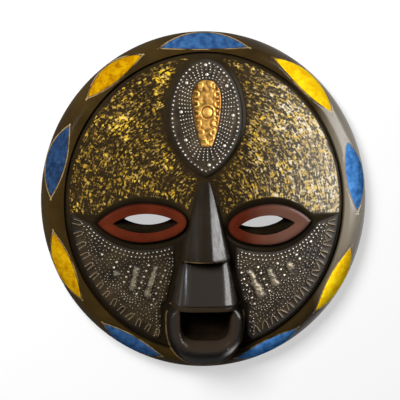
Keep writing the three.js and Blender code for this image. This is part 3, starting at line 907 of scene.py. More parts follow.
for scale, out in ((MOUTH_FLOOR_SHARE, 0), (0.97, 0), (1, 0), (1, 0.3), (1, 0.65), (1, 1)):
    width = (MOUTH_HALF_WIDTH + MOUTH_SPLAY[0] * out) * scale
    bottom = LIP_Y - (MOUTH_HEIGHT + MOUTH_SPLAY[1] * out) * scale
    loop = round_outline(width, LIP_Y + MOUTH_RISE, bottom, LIP_Y, MOUTH_POWER, 120)
    front.line(loop[loop[:, 1] < LIP_Y - LIP_LEDGE + 0.1])


# %% Outlines of the sheets
SHEET_MARGIN = 3.5  # from a sheet's edge to the tall features


def middle_half_width(y):
    """Half width of nose, muzzle and chin together, which the cheek sheets run beside."""
    beside_chin = np.where(y < LIP_Y, CHIN_HALF_WIDTHS[0], 0)
    low = np.maximum(np.maximum(NOSE_WIDTH / 2, muzzle_half_width(y)), beside_chin)
    return np.where(y > NOSE_BASE_Y, NOSE_WIDTH / 2, low)


def even_points(points, step):
    """Points a step apart along a line."""
    lengths = np.hypot(*np.diff(points, axis=0).T)
    reached = np.concatenate([[0], np.cumsum(lengths)])
    places = np.linspace(0, reached[-1], max(2, int(reached[-1] / step) + 1))
    return np.column_stack([np.interp(places, reached, points[:, i]) for i in (0, 1)])


def closed(loop):
    return np.vstack([loop, loop[:1]])


def cheek_outline(eye, inset=0.0):
    """A cheek sheet's edge: under the eye, down beside the mouth, up along the groove."""
    lid = lid_outline(eye, MOAT_WIDTH + SHEET_MARGIN * 0.5 + inset, 120) * (eye.side, 1)
    clear = middle_half_width(lid[:, 1]) + SHEET_MARGIN + inset
    lid = lid[(lid[:, 1] < eye.y + 1) & (lid[:, 0] > clear)]
    under_eye = lid[np.argsort(-lid[:, 0])]
    share = -(SHEET_MARGIN * 0.7 + inset) / RIM_BAND_SIDE
    first = math.degrees(math.asin((eye.y + 7 - inset) / FACE_HALF_HEIGHT))
    beside_chin = CHIN_HALF_WIDTHS[0] + SHEET_MARGIN + inset
    last = -math.degrees(math.acos(beside_chin / FACE_HALF_WIDTH)) + 1
    along_rim = band_point(np.linspace(last, first, 40), share)
    y = np.arange(under_eye[-1, 1] - 3, along_rim[0, 1] + 4, -3)
    beside = np.column_stack([middle_half_width(y) + SHEET_MARGIN + inset, y])
    loop = np.vstack([under_eye, beside, along_rim]) * (eye.side, 1)
    return even_points(closed(loop), 1.6)[:-1]


# %% Fill the plan of the front
FOREHEAD_SPACING = 0.72
PLAIN_SPACING = 1.7
HIDDEN_SPACING = 5


def under_a_sheet(x, y):
    hidden = pad_reach(x, y) < -4
    for eye in EYES:
        hidden |= point_inside(x, y, cheek_outline(eye, 3))
    return hidden


def is_forehead(x, y):
    return forehead_share(x, y) > 0.02


def is_plain(x, y):
    share = band_share(x, y)
    return (share < -0.04) & ~is_forehead(x, y) & ~under_a_sheet(x, y)


front.fill(FOREHEAD_SPACING, is_forehead)
front.fill(PLAIN_SPACING, is_plain)
front.fill(HIDDEN_SPACING, under_a_sheet)
places, faces = front.triangles()
print("front of the mask:", len(places), "points,", len(faces), "triangles")

# %% [markdown]
# The heights come last. The grain is cut into the forehead, a slow swell of a third of
# a millimetre makes the surface look cut by hand, and the lines round the leaves are
# cut half a millimetre deep. Marks for the paint are worked out too: where the carving
# stands tall and is polished, where its edges are worn, where the polish is thin, and
# where shade and a highlight are painted on.

# %% Height and marks of every point of the front
LINE_HALF_WIDTH = 0.8
LINE_DEPTH = 0.5
SWELL_SIZE = 26
SWELL_DEPTH = 0.35
SHINY_CORNER = (28, -129)  # the corner of the chin that keeps its polish
SHINY_RADIUS = 8
GLINT = (24, -130.5)  # a painted highlight on that corner, and which way it runs
GLINT_WAY = (0.74, 0.67)
GLINT_HALF = (7, 2.2)  # half length, half width
WORN_HALF_WIDTH = 19  # of the nose's lower edge


def tree_of(points):
    """Points in the plan or in space, sorted so that the nearest one is found fast."""
    tree = kdtree.KDTree(len(points))
    for index, point in enumerate(points):
        tree.insert((*point, 0)[:3], index)
    tree.balance()
    return tree


def nearest(points, x, y):
    """Distance from each place to the nearest of some points."""
    tree = tree_of(points)
    return np.array([tree.find((a, b, 0))[2] for a, b in zip(x, y)])


def swell(x, y, size, depth):
    """Slow ups and downs of about a size and a depth, as of work done by hand."""
    values = [noise.noise((a / size, b / size, 4.2)) for a, b in zip(x, y)]
    return np.array(values) * depth


x, y = places[:, 0], places[:, 1]
band = band_share(x, y)
forehead = forehead_share(x, y)
cut_grain = np.zeros_like(x)
is_cut = forehead > 0.01
cut_grain[is_cut] = grain(x[is_cut], y[is_cut])
line_points = np.vstack([even_points(line, 0.5) for line in leaf_lines()])
on_rim = band > 0.05
line_gap = np.full_like(x, 9.0)
line_gap[on_rim] = nearest(line_points, x[on_rim], y[on_rim])
line_cut = np.clip(1 - line_gap / LINE_HALF_WIDTH, 0, 1)
leaf, leaf_is_blue, leaf_light = leaf_reach(x, y)
lid = lid_reach(x, y)

height = front_height(x, y)
nose, muzzle = nose_height(x, y), muzzle_height(x, y)
tall = np.maximum(nose, np.maximum(muzzle, chin_height(x, y)))
carved = soft_step((tall - bowl_height(x, y) + 0.5) / 1.5)

# The polish is thin below the chin's crest, on the lip's inner face and on the band under
# the muzzle, and on the nose at its left, its root and its underside.
below_crest = soft_step((chin_reach(x, y, 1.0) - 0.92) / 0.05) * (y < LIP_Y + 2)
corner_gap = np.hypot(x - SHINY_CORNER[0], y - SHINY_CORNER[1])
# Below the crest the wood is also painted dark, as painted shade.
underside = below_crest * (1 - np.exp(-((corner_gap / SHINY_RADIUS) ** 2))) * carved
inner_lip = (mouth_reach(x, y, 1.0) < 1) & (y < LIP_Y)
lip_band = soft_step((LIP_Y + LIP_BAND_TOP + 0.6 - y) / 0.8) * carved
lip_band *= y > LIP_Y - LIP_LEDGE - 0.1
nose_is_top = nose > muzzle
under_nose = soft_step((NOSE_BASE_Y + 3.2 - y) / 2) * nose_is_top
nose_left = 0.75 * nose_is_top * (x < -1)
nose_root = 0.5 * nose_is_top * soft_step((y + 12) / 34)
polish = carved * (1 - 0.85 * inner_lip)
for thin in (under_nose, nose_left, lip_band, underside, nose_root):
    polish = polish * (1 - thin)

# A painted highlight: a pale stroke on the rounded corner of the chin.
glint_along = (x - GLINT[0]) * GLINT_WAY[0] + (y - GLINT[1]) * GLINT_WAY[1]
glint_across = (y - GLINT[1]) * GLINT_WAY[0] - (x - GLINT[0]) * GLINT_WAY[1]
glint_gap = np.hypot(glint_along / GLINT_HALF[0], glint_across / GLINT_HALF[1])
glint = np.exp(-(glint_gap**2)) * carved
worn_x = np.linspace(-WORN_HALF_WIDTH, WORN_HALF_WIDTH, 40)
nose_bow = NOSE_BASE_BOW * (worn_x / (NOSE_WIDTH / 2)) ** 2
worn_edges = [
    chin_junction(0.7),
    level_line(LIP_Y + 0.3, CHIN_HALF_WIDTHS[0] - 3),
    np.column_stack([worn_x, NOSE_BASE_Y + 0.6 + nose_bow]),
]
worn = nearest(np.vstack([even_points(line, 0.5) for line in worn_edges]), x, y)

height += (cut_grain - GRAIN_ZERO) * GRAIN_DEPTH * forehead
height -= line_cut * LINE_DEPTH
height += swell(x, y, SWELL_SIZE, SWELL_DEPTH) * np.clip((1 - band) * 8, 0, 1)
front_points = np.column_stack([x, y, height])
mouth = np.where(y < LIP_Y - LIP_LEDGE - 0.05, mouth_reach(x, y, 0.0), 3)

# %% [markdown]
# The back is not seen in the photograph. Such masks are hollowed out behind, to make
# them light and to keep them from splitting, and are cut flat where they lie. The
# hollow is a plan of its own. Walls of loops join the two plans at the eye slots and
# round the edge, and merging the doubled points closes the solid.

# %% Back, edge and eye slots
BACK_HALF_WIDTH = HALF_WIDTH - FOOT_INSET - BACK_LAND
BACK_HALF_HEIGHT = HALF_HEIGHT - FOOT_INSET - BACK_LAND
HOLLOW_POWER = 2.6  # 2 would be a round bowl; more is flatter in the middle
HOLLOW_SWELL_SIZE = 14
HOLLOW_SWELL_DEPTH = 0.9


def hollow_height(x, y):
    span = np.clip(np.hypot(x / BACK_HALF_WIDTH, y / BACK_HALF_HEIGHT), 0, 1)
    return (FACE_EDGE_Z + FACE_RISE - WALL) * (1 - span**HOLLOW_POWER) ** (1 / HOLLOW_POWER)


back = Plan(oval(BACK_HALF_WIDTH, BACK_HALF_HEIGHT), [back_loop for _, back_loop in slots])
for turn in np.radians(np.arange(6, 48, 6)):
    scale = math.cos(turn) ** (2 / HOLLOW_POWER)
    back.dots(oval(BACK_HALF_WIDTH * scale, BACK_HALF_HEIGHT * scale))
back.fill(4, lambda x, y: np.hypot(x / BACK_HALF_WIDTH, y / BACK_HALF_HEIGHT) < 0.84)
back_places, back_faces = back.triangles()
back_height = hollow_height(*back_places.T)
hollow_swell = swell(*back_places.T, HOLLOW_SWELL_SIZE, HOLLOW_SWELL_DEPTH)
back_height += hollow_swell * np.clip(back_height / 8, 0, 1)
back_points = np.column_stack([back_places, back_height])


class Shell:
    """Points and faces of one piece, gathered from several surfaces."""

    def __init__(self):
        self.points = np.zeros((0, 3))
        self.faces = []

    def add(self, points, faces):
        start = len(self.points)
        self.points = np.vstack([self.points, points])
        self.faces += (np.asarray(faces) + start).tolist()

    def wall(self, loops):
        """Joins loops of equally many points, one after another, by four-sided faces."""
        count = len(loops[0])
        i = np.arange(count)
        j = (i + 1) % count
        first = np.column_stack([i, j, count + j, count + i])
        faces = [first + row * count for row in range(len(loops) - 1)]
        self.add(np.vstack(loops), np.vstack(faces))


def at_height(loop, height):
    return np.column_stack([loop, np.broadcast_to(height, len(loop))])


def height_of_points(points, loop):
    """Takes the heights of an outline from the surface that it bounds."""
    tree = tree_of(points[:, :2])
    return np.array([points[tree.find((a, b, 0))[1]][2] for a, b in loop])


shell = Shell()
shell.add(front_points, faces)
shell.add(back_points, back_faces[:, ::-1])
outer = band_oval(1.0)
edge_loops = [at_height(outer, height_of_points(front_points, outer))]
for turn in np.radians((30, 60, 90)):
    inset = FOOT_INSET * (1 - math.cos(turn))
    loop = oval(HALF_WIDTH - inset, HALF_HEIGHT - inset)
    edge_loops.append(at_height(loop, RIM_EDGE_Z * (1 - math.sin(turn))))
edge_loops.append(at_height(oval(BACK_HALF_WIDTH, BACK_HALF_HEIGHT), 0))
shell.wall(edge_loops)
for top, bottom in slots:
    high = height_of_points(front_points, top)
    low = height_of_points(back_points, bottom)
    shell.wall([
        at_height(lerp(top, bottom, soft_step(share)), lerp(high, low, share))
        for share in (0, 0.06, 0.2, 0.4, 0.6, 0.8, 1)
    ])


# %% [markdown]
# `make_piece` turns points and faces into an object. Marks that the paint needs, such
# as the distance from a leaf's edge, are kept as attributes on the points. A distance
# runs straight across a triangle, so the paint's edge is sharp even where points are few.

# %% Make a piece from points and faces
MERGE_DISTANCE = 0.02 * MM
FLAT_DISTANCE = 0.001 * MM  # a triangle with an edge shorter than this is taken out
MARK_REACH = 0.1  # points further from the marked surface get the value for elsewhere


def make_piece(name, points_mm, faces, is_solid=True):
    mesh = bpy.data.meshes.new(name)
    mesh.from_pydata((points_mm * MM).tolist(), [], faces)
    shape = bmesh.new()
    shape.from_mesh(mesh)
    bmesh.ops.remove_doubles(shape, verts=shape.verts, dist=MERGE_DISTANCE)
    bmesh.ops.dissolve_degenerate(shape, edges=shape.edges, dist=FLAT_DISTANCE)
    bmesh.ops.triangulate(shape, faces=[face for face in shape.faces if len(face.verts) > 3])
    if is_solid:
        bmesh.ops.recalc_face_normals(shape, faces=shape.faces)
    shape.to_mesh(mesh)
    shape.free()
    piece = bpy.data.objects.new(name, mesh)
    bpy.context.collection.objects.link(piece)
    bpy.ops.object.select_all(action="DESELECT")
    piece.select_set(True)
    bpy.context.view_layer.objects.active = piece
    return piece


def mark(piece, points_mm, **marks):
    """Stores marks as attributes: the values at some points, and the value elsewhere."""
    tree = tree_of(points_mm)
    found = [tree.find(vertex.co / MM) for vertex in piece.data.vertices]
    index = np.array([hit[1] for hit in found])
    away = np.array([hit[2] for hit in found]) > MARK_REACH
    for name, (values, elsewhere) in marks.items():
        attribute = piece.data.attributes.new(name, "FLOAT", "POINT")
        here = np.asarray(values, float)[index]
        attribute.data.foreach_set("value", np.where(away, elsewhere, here))


def count_triangles(piece):
    piece.data.calc_loop_triangles()
    return len(piece.data.loop_triangles)


wood = make_piece("carved_mask", shell.points, shell.faces)
mark(
    wood,
    front_points,
    leaf=(leaf, FAR_AWAY),
    leaf_is_blue=(leaf_is_blue, 0),
    leaf_light=(leaf_light, 0),
    patch=(patch_share(x, y), 0),
    line_cut=(line_cut, 0),
    lid=(lid, FAR_AWAY),
    forehead=(forehead, 0),
    grain=(cut_grain, 0),
    band=(band, 2),
    carved=(carved, 0),
    polish=(polish, 0),
    underside=(underside, 0),
    glint=(glint, 0),
    lip_band=(lip_band, 0),
    mouth=(mouth, 3),
    worn=(worn, 9),
    front=(np.ones_like(x), 0),
)
bpy.ops.object.shade_smooth_by_angle(angle=math.radians(55))
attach(wood, "root")
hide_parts("wooden_mask")
print("carved mask:", count_triangles(wood), "triangles")

# %% [markdown]
# The mask has two finishes. Behind, in the eye slots and in the mouth the wood is only
# stained dark, so each face there gets the second one.

# %% Which faces are only stained
EDGE_SHARE = 0.98  # further out than this is the rim's outer edge, which is painted
is_front, mouth_share = np.empty((2, len(wood.data.vertices)))
wood.data.attributes["front"].data.foreach_get("value", is_front)
wood.data.attributes["mouth"].data.foreach_get("value", mouth_share)
for polygon in wood.data.polygons:
    middle = polygon.center / MM
    at_edge = math.hypot(middle.x / HALF_WIDTH, middle.y / HALF_HEIGHT) > EDGE_SHARE
    behind = min(is_front[index] for index in polygon.vertices) < 0.5
    in_mouth = max(mouth_share[index] for index in polygon.vertices) < 1.005
    polygon.material_index = int((behind and not at_edge) or in_mouth)

# %% Paint and polish of the wood
painted = Finish("painted_wood")
blots = painted.noise(14, 4)
streaks = painted.noise(3, 4, 0.6)
leaf_edge = painted.attribute("leaf")
leaf_mask = (leaf_edge + painted.noise(3, 2) * 0.5).ramp(-0.35, -0.75)
line_mask = painted.attribute("line_cut").ramp(0.3, 0.6) * painted.noise(9, 3).ramp(0.4, 0.55)
forehead_mask = painted.attribute("forehead")
rim_mask = painted.attribute("band").ramp(0.08, 0.14)

# The plain wood: olive on the face, brown on the rim and black where the carving is polished.
across = painted.node("ShaderNodeSeparateXYZ", None, {0: painted.place}, "X")
upwards = painted.node("ShaderNodeSeparateXYZ", None, {0: painted.place}, "Y")
right_side = across.ramp(20 * MM, 120 * MM)
rim_sheen_side = across.ramp(100 * MM, 142 * MM)
olive = painted.mix(blots.ramp(0.35, 0.7), rgb(30, 23, 13), rgb(43, 34, 20))
# Painted shade: the face is darker from the eyes downwards, beside the muzzle and the chin.
olive = painted.mix(upwards.ramp(-14 * MM, -26 * MM) * 0.65, olive, rgb(14, 10, 6))
rim_brown = painted.mix(blots.ramp(0.3, 0.7), rgb(38, 28, 11), rgb(52, 39, 16))
# Painted sheen: the rim turns pale grey towards its far right.
rim_brown = painted.mix(rim_sheen_side * 0.8, rim_brown, rgb(156, 146, 128))
polished = painted.mix(blots.ramp(0.3, 0.7), rgb(24, 19, 13), rgb(34, 29, 22))
# Painted sheen: the polished carving is lighter and greyer on the muzzle and the chin.
polished = painted.mix(upwards.ramp(-50 * MM, -58 * MM) * 0.6, polished, rgb(44, 40, 36))
colour = painted.mix(rim_mask, olive, rim_brown)
# Painted sheen: the forehead's ground turns grey towards the right.
colour = painted.mix(forehead_mask * right_side * right_side * 0.8, colour, rgb(116, 109, 98))
colour = painted.mix(painted.attribute("carved"), colour, polished)

# The forehead: chips of yellow, dull to bright, on dark olive. Towards the right there are more
# chips, brighter and creamier, partly in the paint and partly as painted sheen.
chip = painted.attribute("grain") * 0.5 + painted.noise(1.15, 1.5, 0.5).ramp(0.38, 0.66) * 0.5
patch = painted.attribute("patch")
tone = painted.noise(1.7, 1.5).ramp(0.34, 0.66) * 0.75
tone = tone + painted.noise(11, 3).ramp(0.35, 0.65) * 0.35
tone = tone + patch * 0.35 + right_side * 0.4 - 0.22
dull = painted.mix(tone.ramp(0, 0.5), rgb(46, 36, 20), rgb(122, 95, 34))
yellow = painted.mix(tone.ramp(0.45, 1), dull, rgb(206, 168, 40))
cream_share = painted.noise(2.6, 3).ramp(0.5, 0.6) * tone.ramp(0.2, 0.8) * (right_side * 1.5 + 0.2)
yellow = painted.mix(cream_share, yellow, rgb(208, 196, 170))
yellow = painted.mix(right_side * right_side * 0.5, yellow, rgb(206, 192, 164))
chip_mask = (chip + patch * 0.2 + right_side * 0.14).ramp(0.42, 0.72) * forehead_mask.ramp(0.2, 0.8)
colour = painted.mix(chip_mask, colour, yellow)

# The lids are red inside a black line. On the right the red turns grey, a painted sheen.
red = painted.mix(blots.ramp(0.3, 0.7), rgb(58, 20, 10), rgb(84, 34, 18))
red = painted.mix(right_side.ramp(0.15, 0.5) * 0.6, red, rgb(106, 78, 66))
lid_edge = painted.attribute("lid")
colour = painted.mix(lid_edge.ramp(3.6, 0.6), colour, rgb(12, 9, 6))
colour = painted.mix(lid_edge.ramp(0.2, -2.2), colour, red)

# The leaves of the rim, and the pale cut lines round them. A leaf is lighter partly by its paint
# and partly by painted light, which is stronger on the right.
light = painted.attribute("leaf_light")
mottle = painted.noise(3.2, 4, 0.65)
deep_blue = painted.mix(light, rgb(22, 36, 60), rgb(46, 96, 160))
blue = painted.mix(light, rgb(36, 60, 92), rgb(82, 144, 210))
blue = painted.mix(mottle.ramp(0.38, 0.66), deep_blue, blue)
deep_yellow = painted.mix(light, rgb(124, 76, 0), rgb(238, 172, 6))
yellow = painted.mix(light, rgb(162, 122, 4), rgb(254, 220, 26))
yellow = painted.mix(mottle.ramp(0.34, 0.6), deep_yellow, yellow)
leaf_colour = painted.mix(painted.attribute("leaf_is_blue").ramp(0.4, 0.6), yellow, blue)
colour = painted.mix(leaf_mask, colour, leaf_colour)
colour = painted.mix(line_mask, colour, rgb(128, 110, 80))

# Worn edges, painted shade below the chin's crest, a painted highlight on its corner, and the dark
# of the mouth.
worn_mask = painted.attribute("worn").ramp(0.9, 0.3) * painted.noise(5, 3).ramp(0.3, 0.5)
colour = painted.mix(worn_mask * 0.75, colour, rgb(110, 88, 58))
colour = painted.mix(painted.attribute("underside") * 0.6, colour, rgb(12, 10, 8))
colour = painted.mix(painted.attribute("lip_band"), colour, rgb(38, 30, 22))
colour = painted.mix(painted.attribute("glint") * 0.85, colour, rgb(226, 220, 212))
mouth = painted.attribute("mouth")
colour = painted.mix(mouth.ramp(1.3, 1.2) * 0.7, colour, rgb(44, 34, 25))
colour = painted.mix(mouth.ramp(1.05, 1.0), colour, rgb(8, 6, 4))

# The shine is a clear coat, strong on the polished carving and on the right of the face.
rough = streaks.ramp(0.2, 0.8) * 0.16 + 0.42
surface = painted.bump(streaks + blots * 0.6, 0.12, 0.4)
painted.set(base_color=colour, roughness=rough, normal=surface, specular_ior_level=0)
bare_share = (1 - leaf_mask) * (rim_mask * 0.3 + 0.4)
brushed = painted.noise(1.4, 3, 0.6, (1, 0.15, 1)).ramp(0.3, 0.7) * 0.5 + 0.55
coat = bare_share * (right_side * 0.9 + 0.1)
coat = (painted.attribute("polish") * brushed).math("MAXIMUM", coat)
painted.set(coat_weight=coat, coat_roughness=0.22, coat_normal=surface)
wood.data.materials.append(painted.material)

# %% Dark stain of the back, the eye slots and the mouth
stained = Finish("stained_wood")
stain = stained.mix(stained.noise(12, 4).ramp(0.3, 0.7), rgb(12, 9, 5), rgb(30, 23, 14))
stained.set(base_color=stain, roughness=0.85, specular_ior_level=0)
wood.data.materials.append(stained.set(normal=stained.bump(stained.noise(4, 4), 0.5, 0.6)))

# %% [markdown]
# ## The metal sheets
# Each sheet is thin aluminium, blackened, with dots and lines punched up from behind.
# Rubbing took the black off the high spots, so they shine like silver. The sheets are
# plans as well: every dot brings its own rings of points, so it is a real small dome.

# %% Dots and lines of a sheet
SHEET_LIFT = 1.2  # top of a sheet above the wood that it lies on
SHEET_THICKNESS = 0.5
SHEET_SPACING = 1.5  # of the points between the dots
EDGE_STEP = 0.6
BARE_MARGIN = 1.2  # no dot comes nearer to a sheet's edge
SOOT_WIDTH = 5.0  # the black was never rubbed off this near a sheet's edge
PRESSED_DEPTH = 0.7  # how far a sheet's edge is pressed down, and from where
PRESSED_WIDTH = 1.6
DOT_GAP = 0.35
DOME_SHARE = 0.62  # height of a dot, as a share of its radius
DOT_RINGS = ((1, 9), (0.72, 7), (0.38, 5))  # share of the radius, number of points
LINE_HALF = 0.55
LINE_HEIGHT = 0.45
WELT_HEIGHT = 2.4
WELT_HALF_WIDTH = 5.3
WELT_TAPER = 0.5  # width of a welt's upper end, as a share of its lower end
WELT_WAVER = (3.5, 0.7)  # size and depth of the swell in its width
SHEET_SWELL = (7, 0.22)
MOAT_REACH = 2.4  # the dip beside a welt, which is darkened as painted shade
MOAT_DIP = 0.5
LEFT_WELT_BRIGHTNESS = 0.6  # the left cheek's welts are less bright


class Emboss:
    """The punched pattern of one sheet: dots, lines and long welts."""

    def __init__(self, seed, welts=()):
        self.random = np.random.default_rng(seed)
        self.dots = np.zeros((0, 4))  # x, y, radius, how far it is rubbed bare
        self.lines = []
        self.welts = welts  # upper end, lower end

    def dot(self, x, y, radius, rubbed=1.0):
        """Adds a dot, unless it would touch one that is there."""
        if len(self.dots):
            gaps = np.hypot(self.dots[:, 0] - x, self.dots[:, 1] - y)
            if (gaps < self.dots[:, 2] + radius + DOT_GAP).any():
                return
        self.dots = np.vstack([self.dots, [x, y, radius, rubbed]])

    def row(self, points, spacing, radius, rubbed=1.0, jitter=0.15):
        """Adds dots along a line of points."""
        for x, y in even_points(np.asarray(points, float), spacing):
            dx, dy = self.random.normal(0, jitter, 2)
            shine = rubbed * self.random.uniform(0.55, 1.1)
            self.dot(x + dx, y + dy, radius * self.random.uniform(0.85, 1.1), shine)

    def welt_share(self, x, y, grow=0.0):
        """How high on a welt each point is, from 0 beside it to 1 on its ridge."""
        best = np.zeros_like(x)
        for (x1, y1), (x2, y2) in self.welts:
            length = math.hypot(x2 - x1, y2 - y1)
            along = ((x - x1) * (x2 - x1) + (y - y1) * (y2 - y1)) / length
            across = np.abs((x - x1) * (y2 - y1) - (y - y1) * (x2 - x1)) / length
            past = np.maximum(np.abs(along - length / 2) - (length / 2 - WELT_HALF_WIDTH), 0)
            taper = lerp(WELT_TAPER, 1, np.clip(along / length, 0, 1))
            width = WELT_HALF_WIDTH * taper * (1 + swell(x, y, *WELT_WAVER)) + grow
            best = np.maximum(best, soft_step(1.3 * (1 - np.hypot(across, past) / width)))
        return best

    def lay(self, plan):
        """Puts the pattern's points in a plan. Dots too near the edge are dropped."""
        edge = nearest(even_points(closed(plan.outline), EDGE_STEP), *self.dots.T[:2])
        keep = plan.inside(*self.dots.T[:2]) & (edge > self.dots[:, 2] + BARE_MARGIN)
        self.dots = self.dots[keep]
        for line in self.lines:
            normal = np.gradient(line, axis=0)[:, ::-1] * (1, -1)
            normal /= np.hypot(*normal.T)[:, None]
            for offset in (-LINE_HALF, 0, LINE_HALF):
                plan.line(line + normal * offset)
        for x, y, radius, _ in self.dots:
            for share, count in DOT_RINGS:
                plan.dots(oval(radius * share, radius * share, count) + (x, y))
            plan.dots([(x, y)])

    def relief(self, x, y):
        """Height of the pattern at each point, and the marks of dots, welts, lines and dips."""
        tree = tree_of(self.dots[:, :2])
        found = [tree.find((a, b, 0)) for a, b in zip(x, y)]
        radius, rubbed = self.dots[[hit[1] for hit in found]][:, 2:].T
        dome = np.clip(1 - (np.array([hit[2] for hit in found]) / radius) ** 2, 0, 1)
        height = dome * radius * DOME_SHARE
        stroke = np.zeros_like(x)
        if self.lines:
            gap = nearest(np.vstack([even_points(line, 0.3) for line in self.lines]), x, y)
            stroke = np.clip(1 - gap / LINE_HALF, 0, 1)
            height = np.maximum(height, stroke * LINE_HEIGHT)
        welt = self.welt_share(x, y)
        moat = self.welt_share(x, y, MOAT_REACH) * (1 - welt)
        return height + welt * WELT_HEIGHT - moat * MOAT_DIP, dome * rubbed, welt, stroke, moat


def everywhere(x, y):
    return np.ones(len(x), bool)


def thicken(skin):
    """Gives a skin its thickness, downwards, and shades it smooth but for sharp edges."""
    bpy.ops.object.modifier_add(type="SOLIDIFY")
    wall = skin.modifiers[-1]
    wall.thickness = SHEET_THICKNESS * MM
    wall.offset = -1
    bpy.ops.object.modifier_apply(modifier=wall.name)
    bpy.ops.object.shade_smooth_by_angle(angle=math.radians(60))


def make_sheet(name, node, outline, emboss, base_height):
    """A thin sheet with its pattern, lying on the wood, with its edge pressed down."""
    plan = Plan(outline)
    emboss.lay(plan)
    plan.fill(SHEET_SPACING, everywhere, 0.4)
    places, faces = plan.triangles()
    x, y = places.T
    relief, shine, welt, stroke, moat = emboss.relief(x, y)
    inset = nearest(even_points(closed(outline), EDGE_STEP), x, y)
    pressed = PRESSED_DEPTH * soft_step(1 - inset / PRESSED_WIDTH)
    # Dark near the edge, where the black was never rubbed off, and painted shade in the dips beside
    # the welts.
    sooty = np.maximum(soft_step(1 - inset / SOOT_WIDTH), moat)
    welt = welt * np.where(x < 0, LEFT_WELT_BRIGHTNESS, 1)
    height = base_height(x, y) + SHEET_LIFT + relief - pressed + swell(x, y, *SHEET_SWELL)
    points = np.column_stack([x, y, height])
    sheet = make_piece(name, points, faces, is_solid=False)
    mark(sheet, points, shine=(shine, 0), welt=(welt, 0), stroke=(stroke, 0), sooty=(sooty, 0))
    thicken(sheet)
    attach(sheet, "root")
    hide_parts(node)
    print(name + ":", len(emboss.dots), "dots,", count_triangles(sheet), "triangles")
    return sheet


# %% Blackened aluminium
metal = Finish("blackened_aluminium")
smudge = metal.noise(9, 4)
sooty = metal.attribute("sooty")
bare = (metal.attribute("shine") + metal.noise(1.5, 2) * 0.3).ramp(0.38, 0.66)
worn_welt = metal.attribute("welt").ramp(0.12, 0.7) * metal.noise(5, 4).ramp(0.3, 0.56) * 0.8
bright = bare.math("MAXIMUM", worn_welt)
black = metal.mix(smudge.ramp(0.35, 0.65), rgb(29, 22, 13), rgb(52, 41, 25))
# Black kept near the edges, and painted shade in the dips beside the welts.
black = metal.mix(sooty * 0.85, black, rgb(14, 10, 6))
silver = metal.mix(bare, rgb(156, 143, 120), rgb(212, 202, 184))
colour = metal.mix(bright, black, silver)
colour = metal.mix(metal.attribute("stroke").ramp(0.2, 0.7) * 0.65, colour, rgb(146, 124, 90))
rough = smudge * 0.2 + sooty * 0.35 + 0.38
pitted = metal.bump(metal.noise(1.6, 3), 0.15, 0.6)
metal.set(base_color=colour, metallic=bright * 0.6 + 0.1, roughness=rough, normal=pitted)

# %% [markdown]
# The cheek sheets differ a little, as the work of a hand does. Two rows of dots follow
# the eye, larger dots and rough welts that widen downwards run down the cheek, fine rows
# follow the mouth, and a border of small bent strokes runs along the groove.

# %% Cheek sheets
UNDER_EYE_ROWS = ((9.3, 0.95), (13.2, 0.85))  # distance from the lid, radius of the dots
BORDER_SHARE = 0.93
BORDER_SIZES = (6.4, 8)
BEND_HALF = 0.24  # of a stroke of the border, as a share of its size
BEND_HEIGHT = 0.2
LEG_HEIGHT = -0.5
LARGE_DOT = 1.45  # radius
WELT_ARCS = ((1.6, 2.3), (4.2, 2.6))  # distance from a welt's lower end, spacing of the dots
BESIDE_ROWS = (5.5, 8.6)  # distance from the muzzle and the chin
FINE_STEP = 0.025  # between the fine rows, as a share of the face


def border_stroke(place, across, size, splay):
    """One stroke of the border: a hairpin, its two legs towards the rim."""
    along = np.array([-across[1], across[0]])
    turn = np.linspace(math.pi, 0, 7)
    bend = [(BEND_HALF * math.cos(t), BEND_HEIGHT + BEND_HALF * math.sin(t)) for t in turn]
    leg = BEND_HALF + splay
    stroke = [(-leg, LEG_HEIGHT), *bend, (leg, LEG_HEIGHT)]
    return np.array([place + along * a * size - across * b * size for a, b in stroke])


def cheek_emboss(eye, splay, rows, large_dots, welts, border_angles, seed):
    side = eye.side
    emboss = Emboss(seed, welts)
    for x, y in large_dots:
        emboss.dot(x, y, LARGE_DOT)
    for start, end, count, radius in rows:
        for share in np.linspace(0, 1, count):
            emboss.dot(*lerp(np.array(start), np.array(end), share), radius)
    for grow, radius in UNDER_EYE_ROWS:
        lid = lid_outline(eye, grow, 200)
        lid = lid[(lid[:, 1] < eye.y - 1) & (np.abs(lid[:, 0]) > 29)]
        emboss.row(lid[np.argsort(lid[:, 0])], 3.6, radius)
    for start, end in welts:
        lean = math.atan2(end[1] - start[1], end[0] - start[0])
        turn = np.linspace(lean - 1.5, lean + 1.5, 12)
        for gap, spacing in WELT_ARCS:
            arc = np.column_stack([np.cos(turn), np.sin(turn)]) * (WELT_HALF_WIDTH + gap) + end
            emboss.row(arc, spacing, 0.68, 0.75)
    y = np.linspace(-44, -124, 60)
    for gap in BESIDE_ROWS:
        beside = np.column_stack([side * (middle_half_width(y) + gap), y])
        emboss.row(beside, 3.1, 0.75, 0.8, 0.25)
    for angle in border_angles:
        turn = math.radians(angle)
        place = np.array([
            side * FACE_HALF_WIDTH * BORDER_SHARE * math.cos(turn),
            FACE_HALF_HEIGHT * BORDER_SHARE * math.sin(turn),
        ])
        across = place / np.hypot(*place)
        tilt = emboss.random.normal(0, 0.2)
        size = emboss.random.uniform(*BORDER_SIZES)
        across = np.array([
            across[0] * math.cos(tilt) - across[1] * math.sin(tilt),
            across[0] * math.sin(tilt) + across[1] * math.cos(tilt),
        ])
        emboss.lines.append(even_points(border_stroke(place, across, size, splay), 0.9))
    for share in np.arange(0.3, 0.9, FINE_STEP):
        angles = np.radians(np.linspace(-8, -80, 90))
        ring = np.column_stack([
            side * FACE_HALF_WIDTH * share * np.cos(angles),
            FACE_HALF_HEIGHT * share * np.sin(angles),
        ])
        low = lid_reach(*ring.T) > 16
        free = emboss.welt_share(*ring.T) < 0.01
        ring = ring[low & free]
        if len(ring) > 3:
            emboss.row(ring, 3.1, 0.62, 0.65, 0.5)
    return emboss


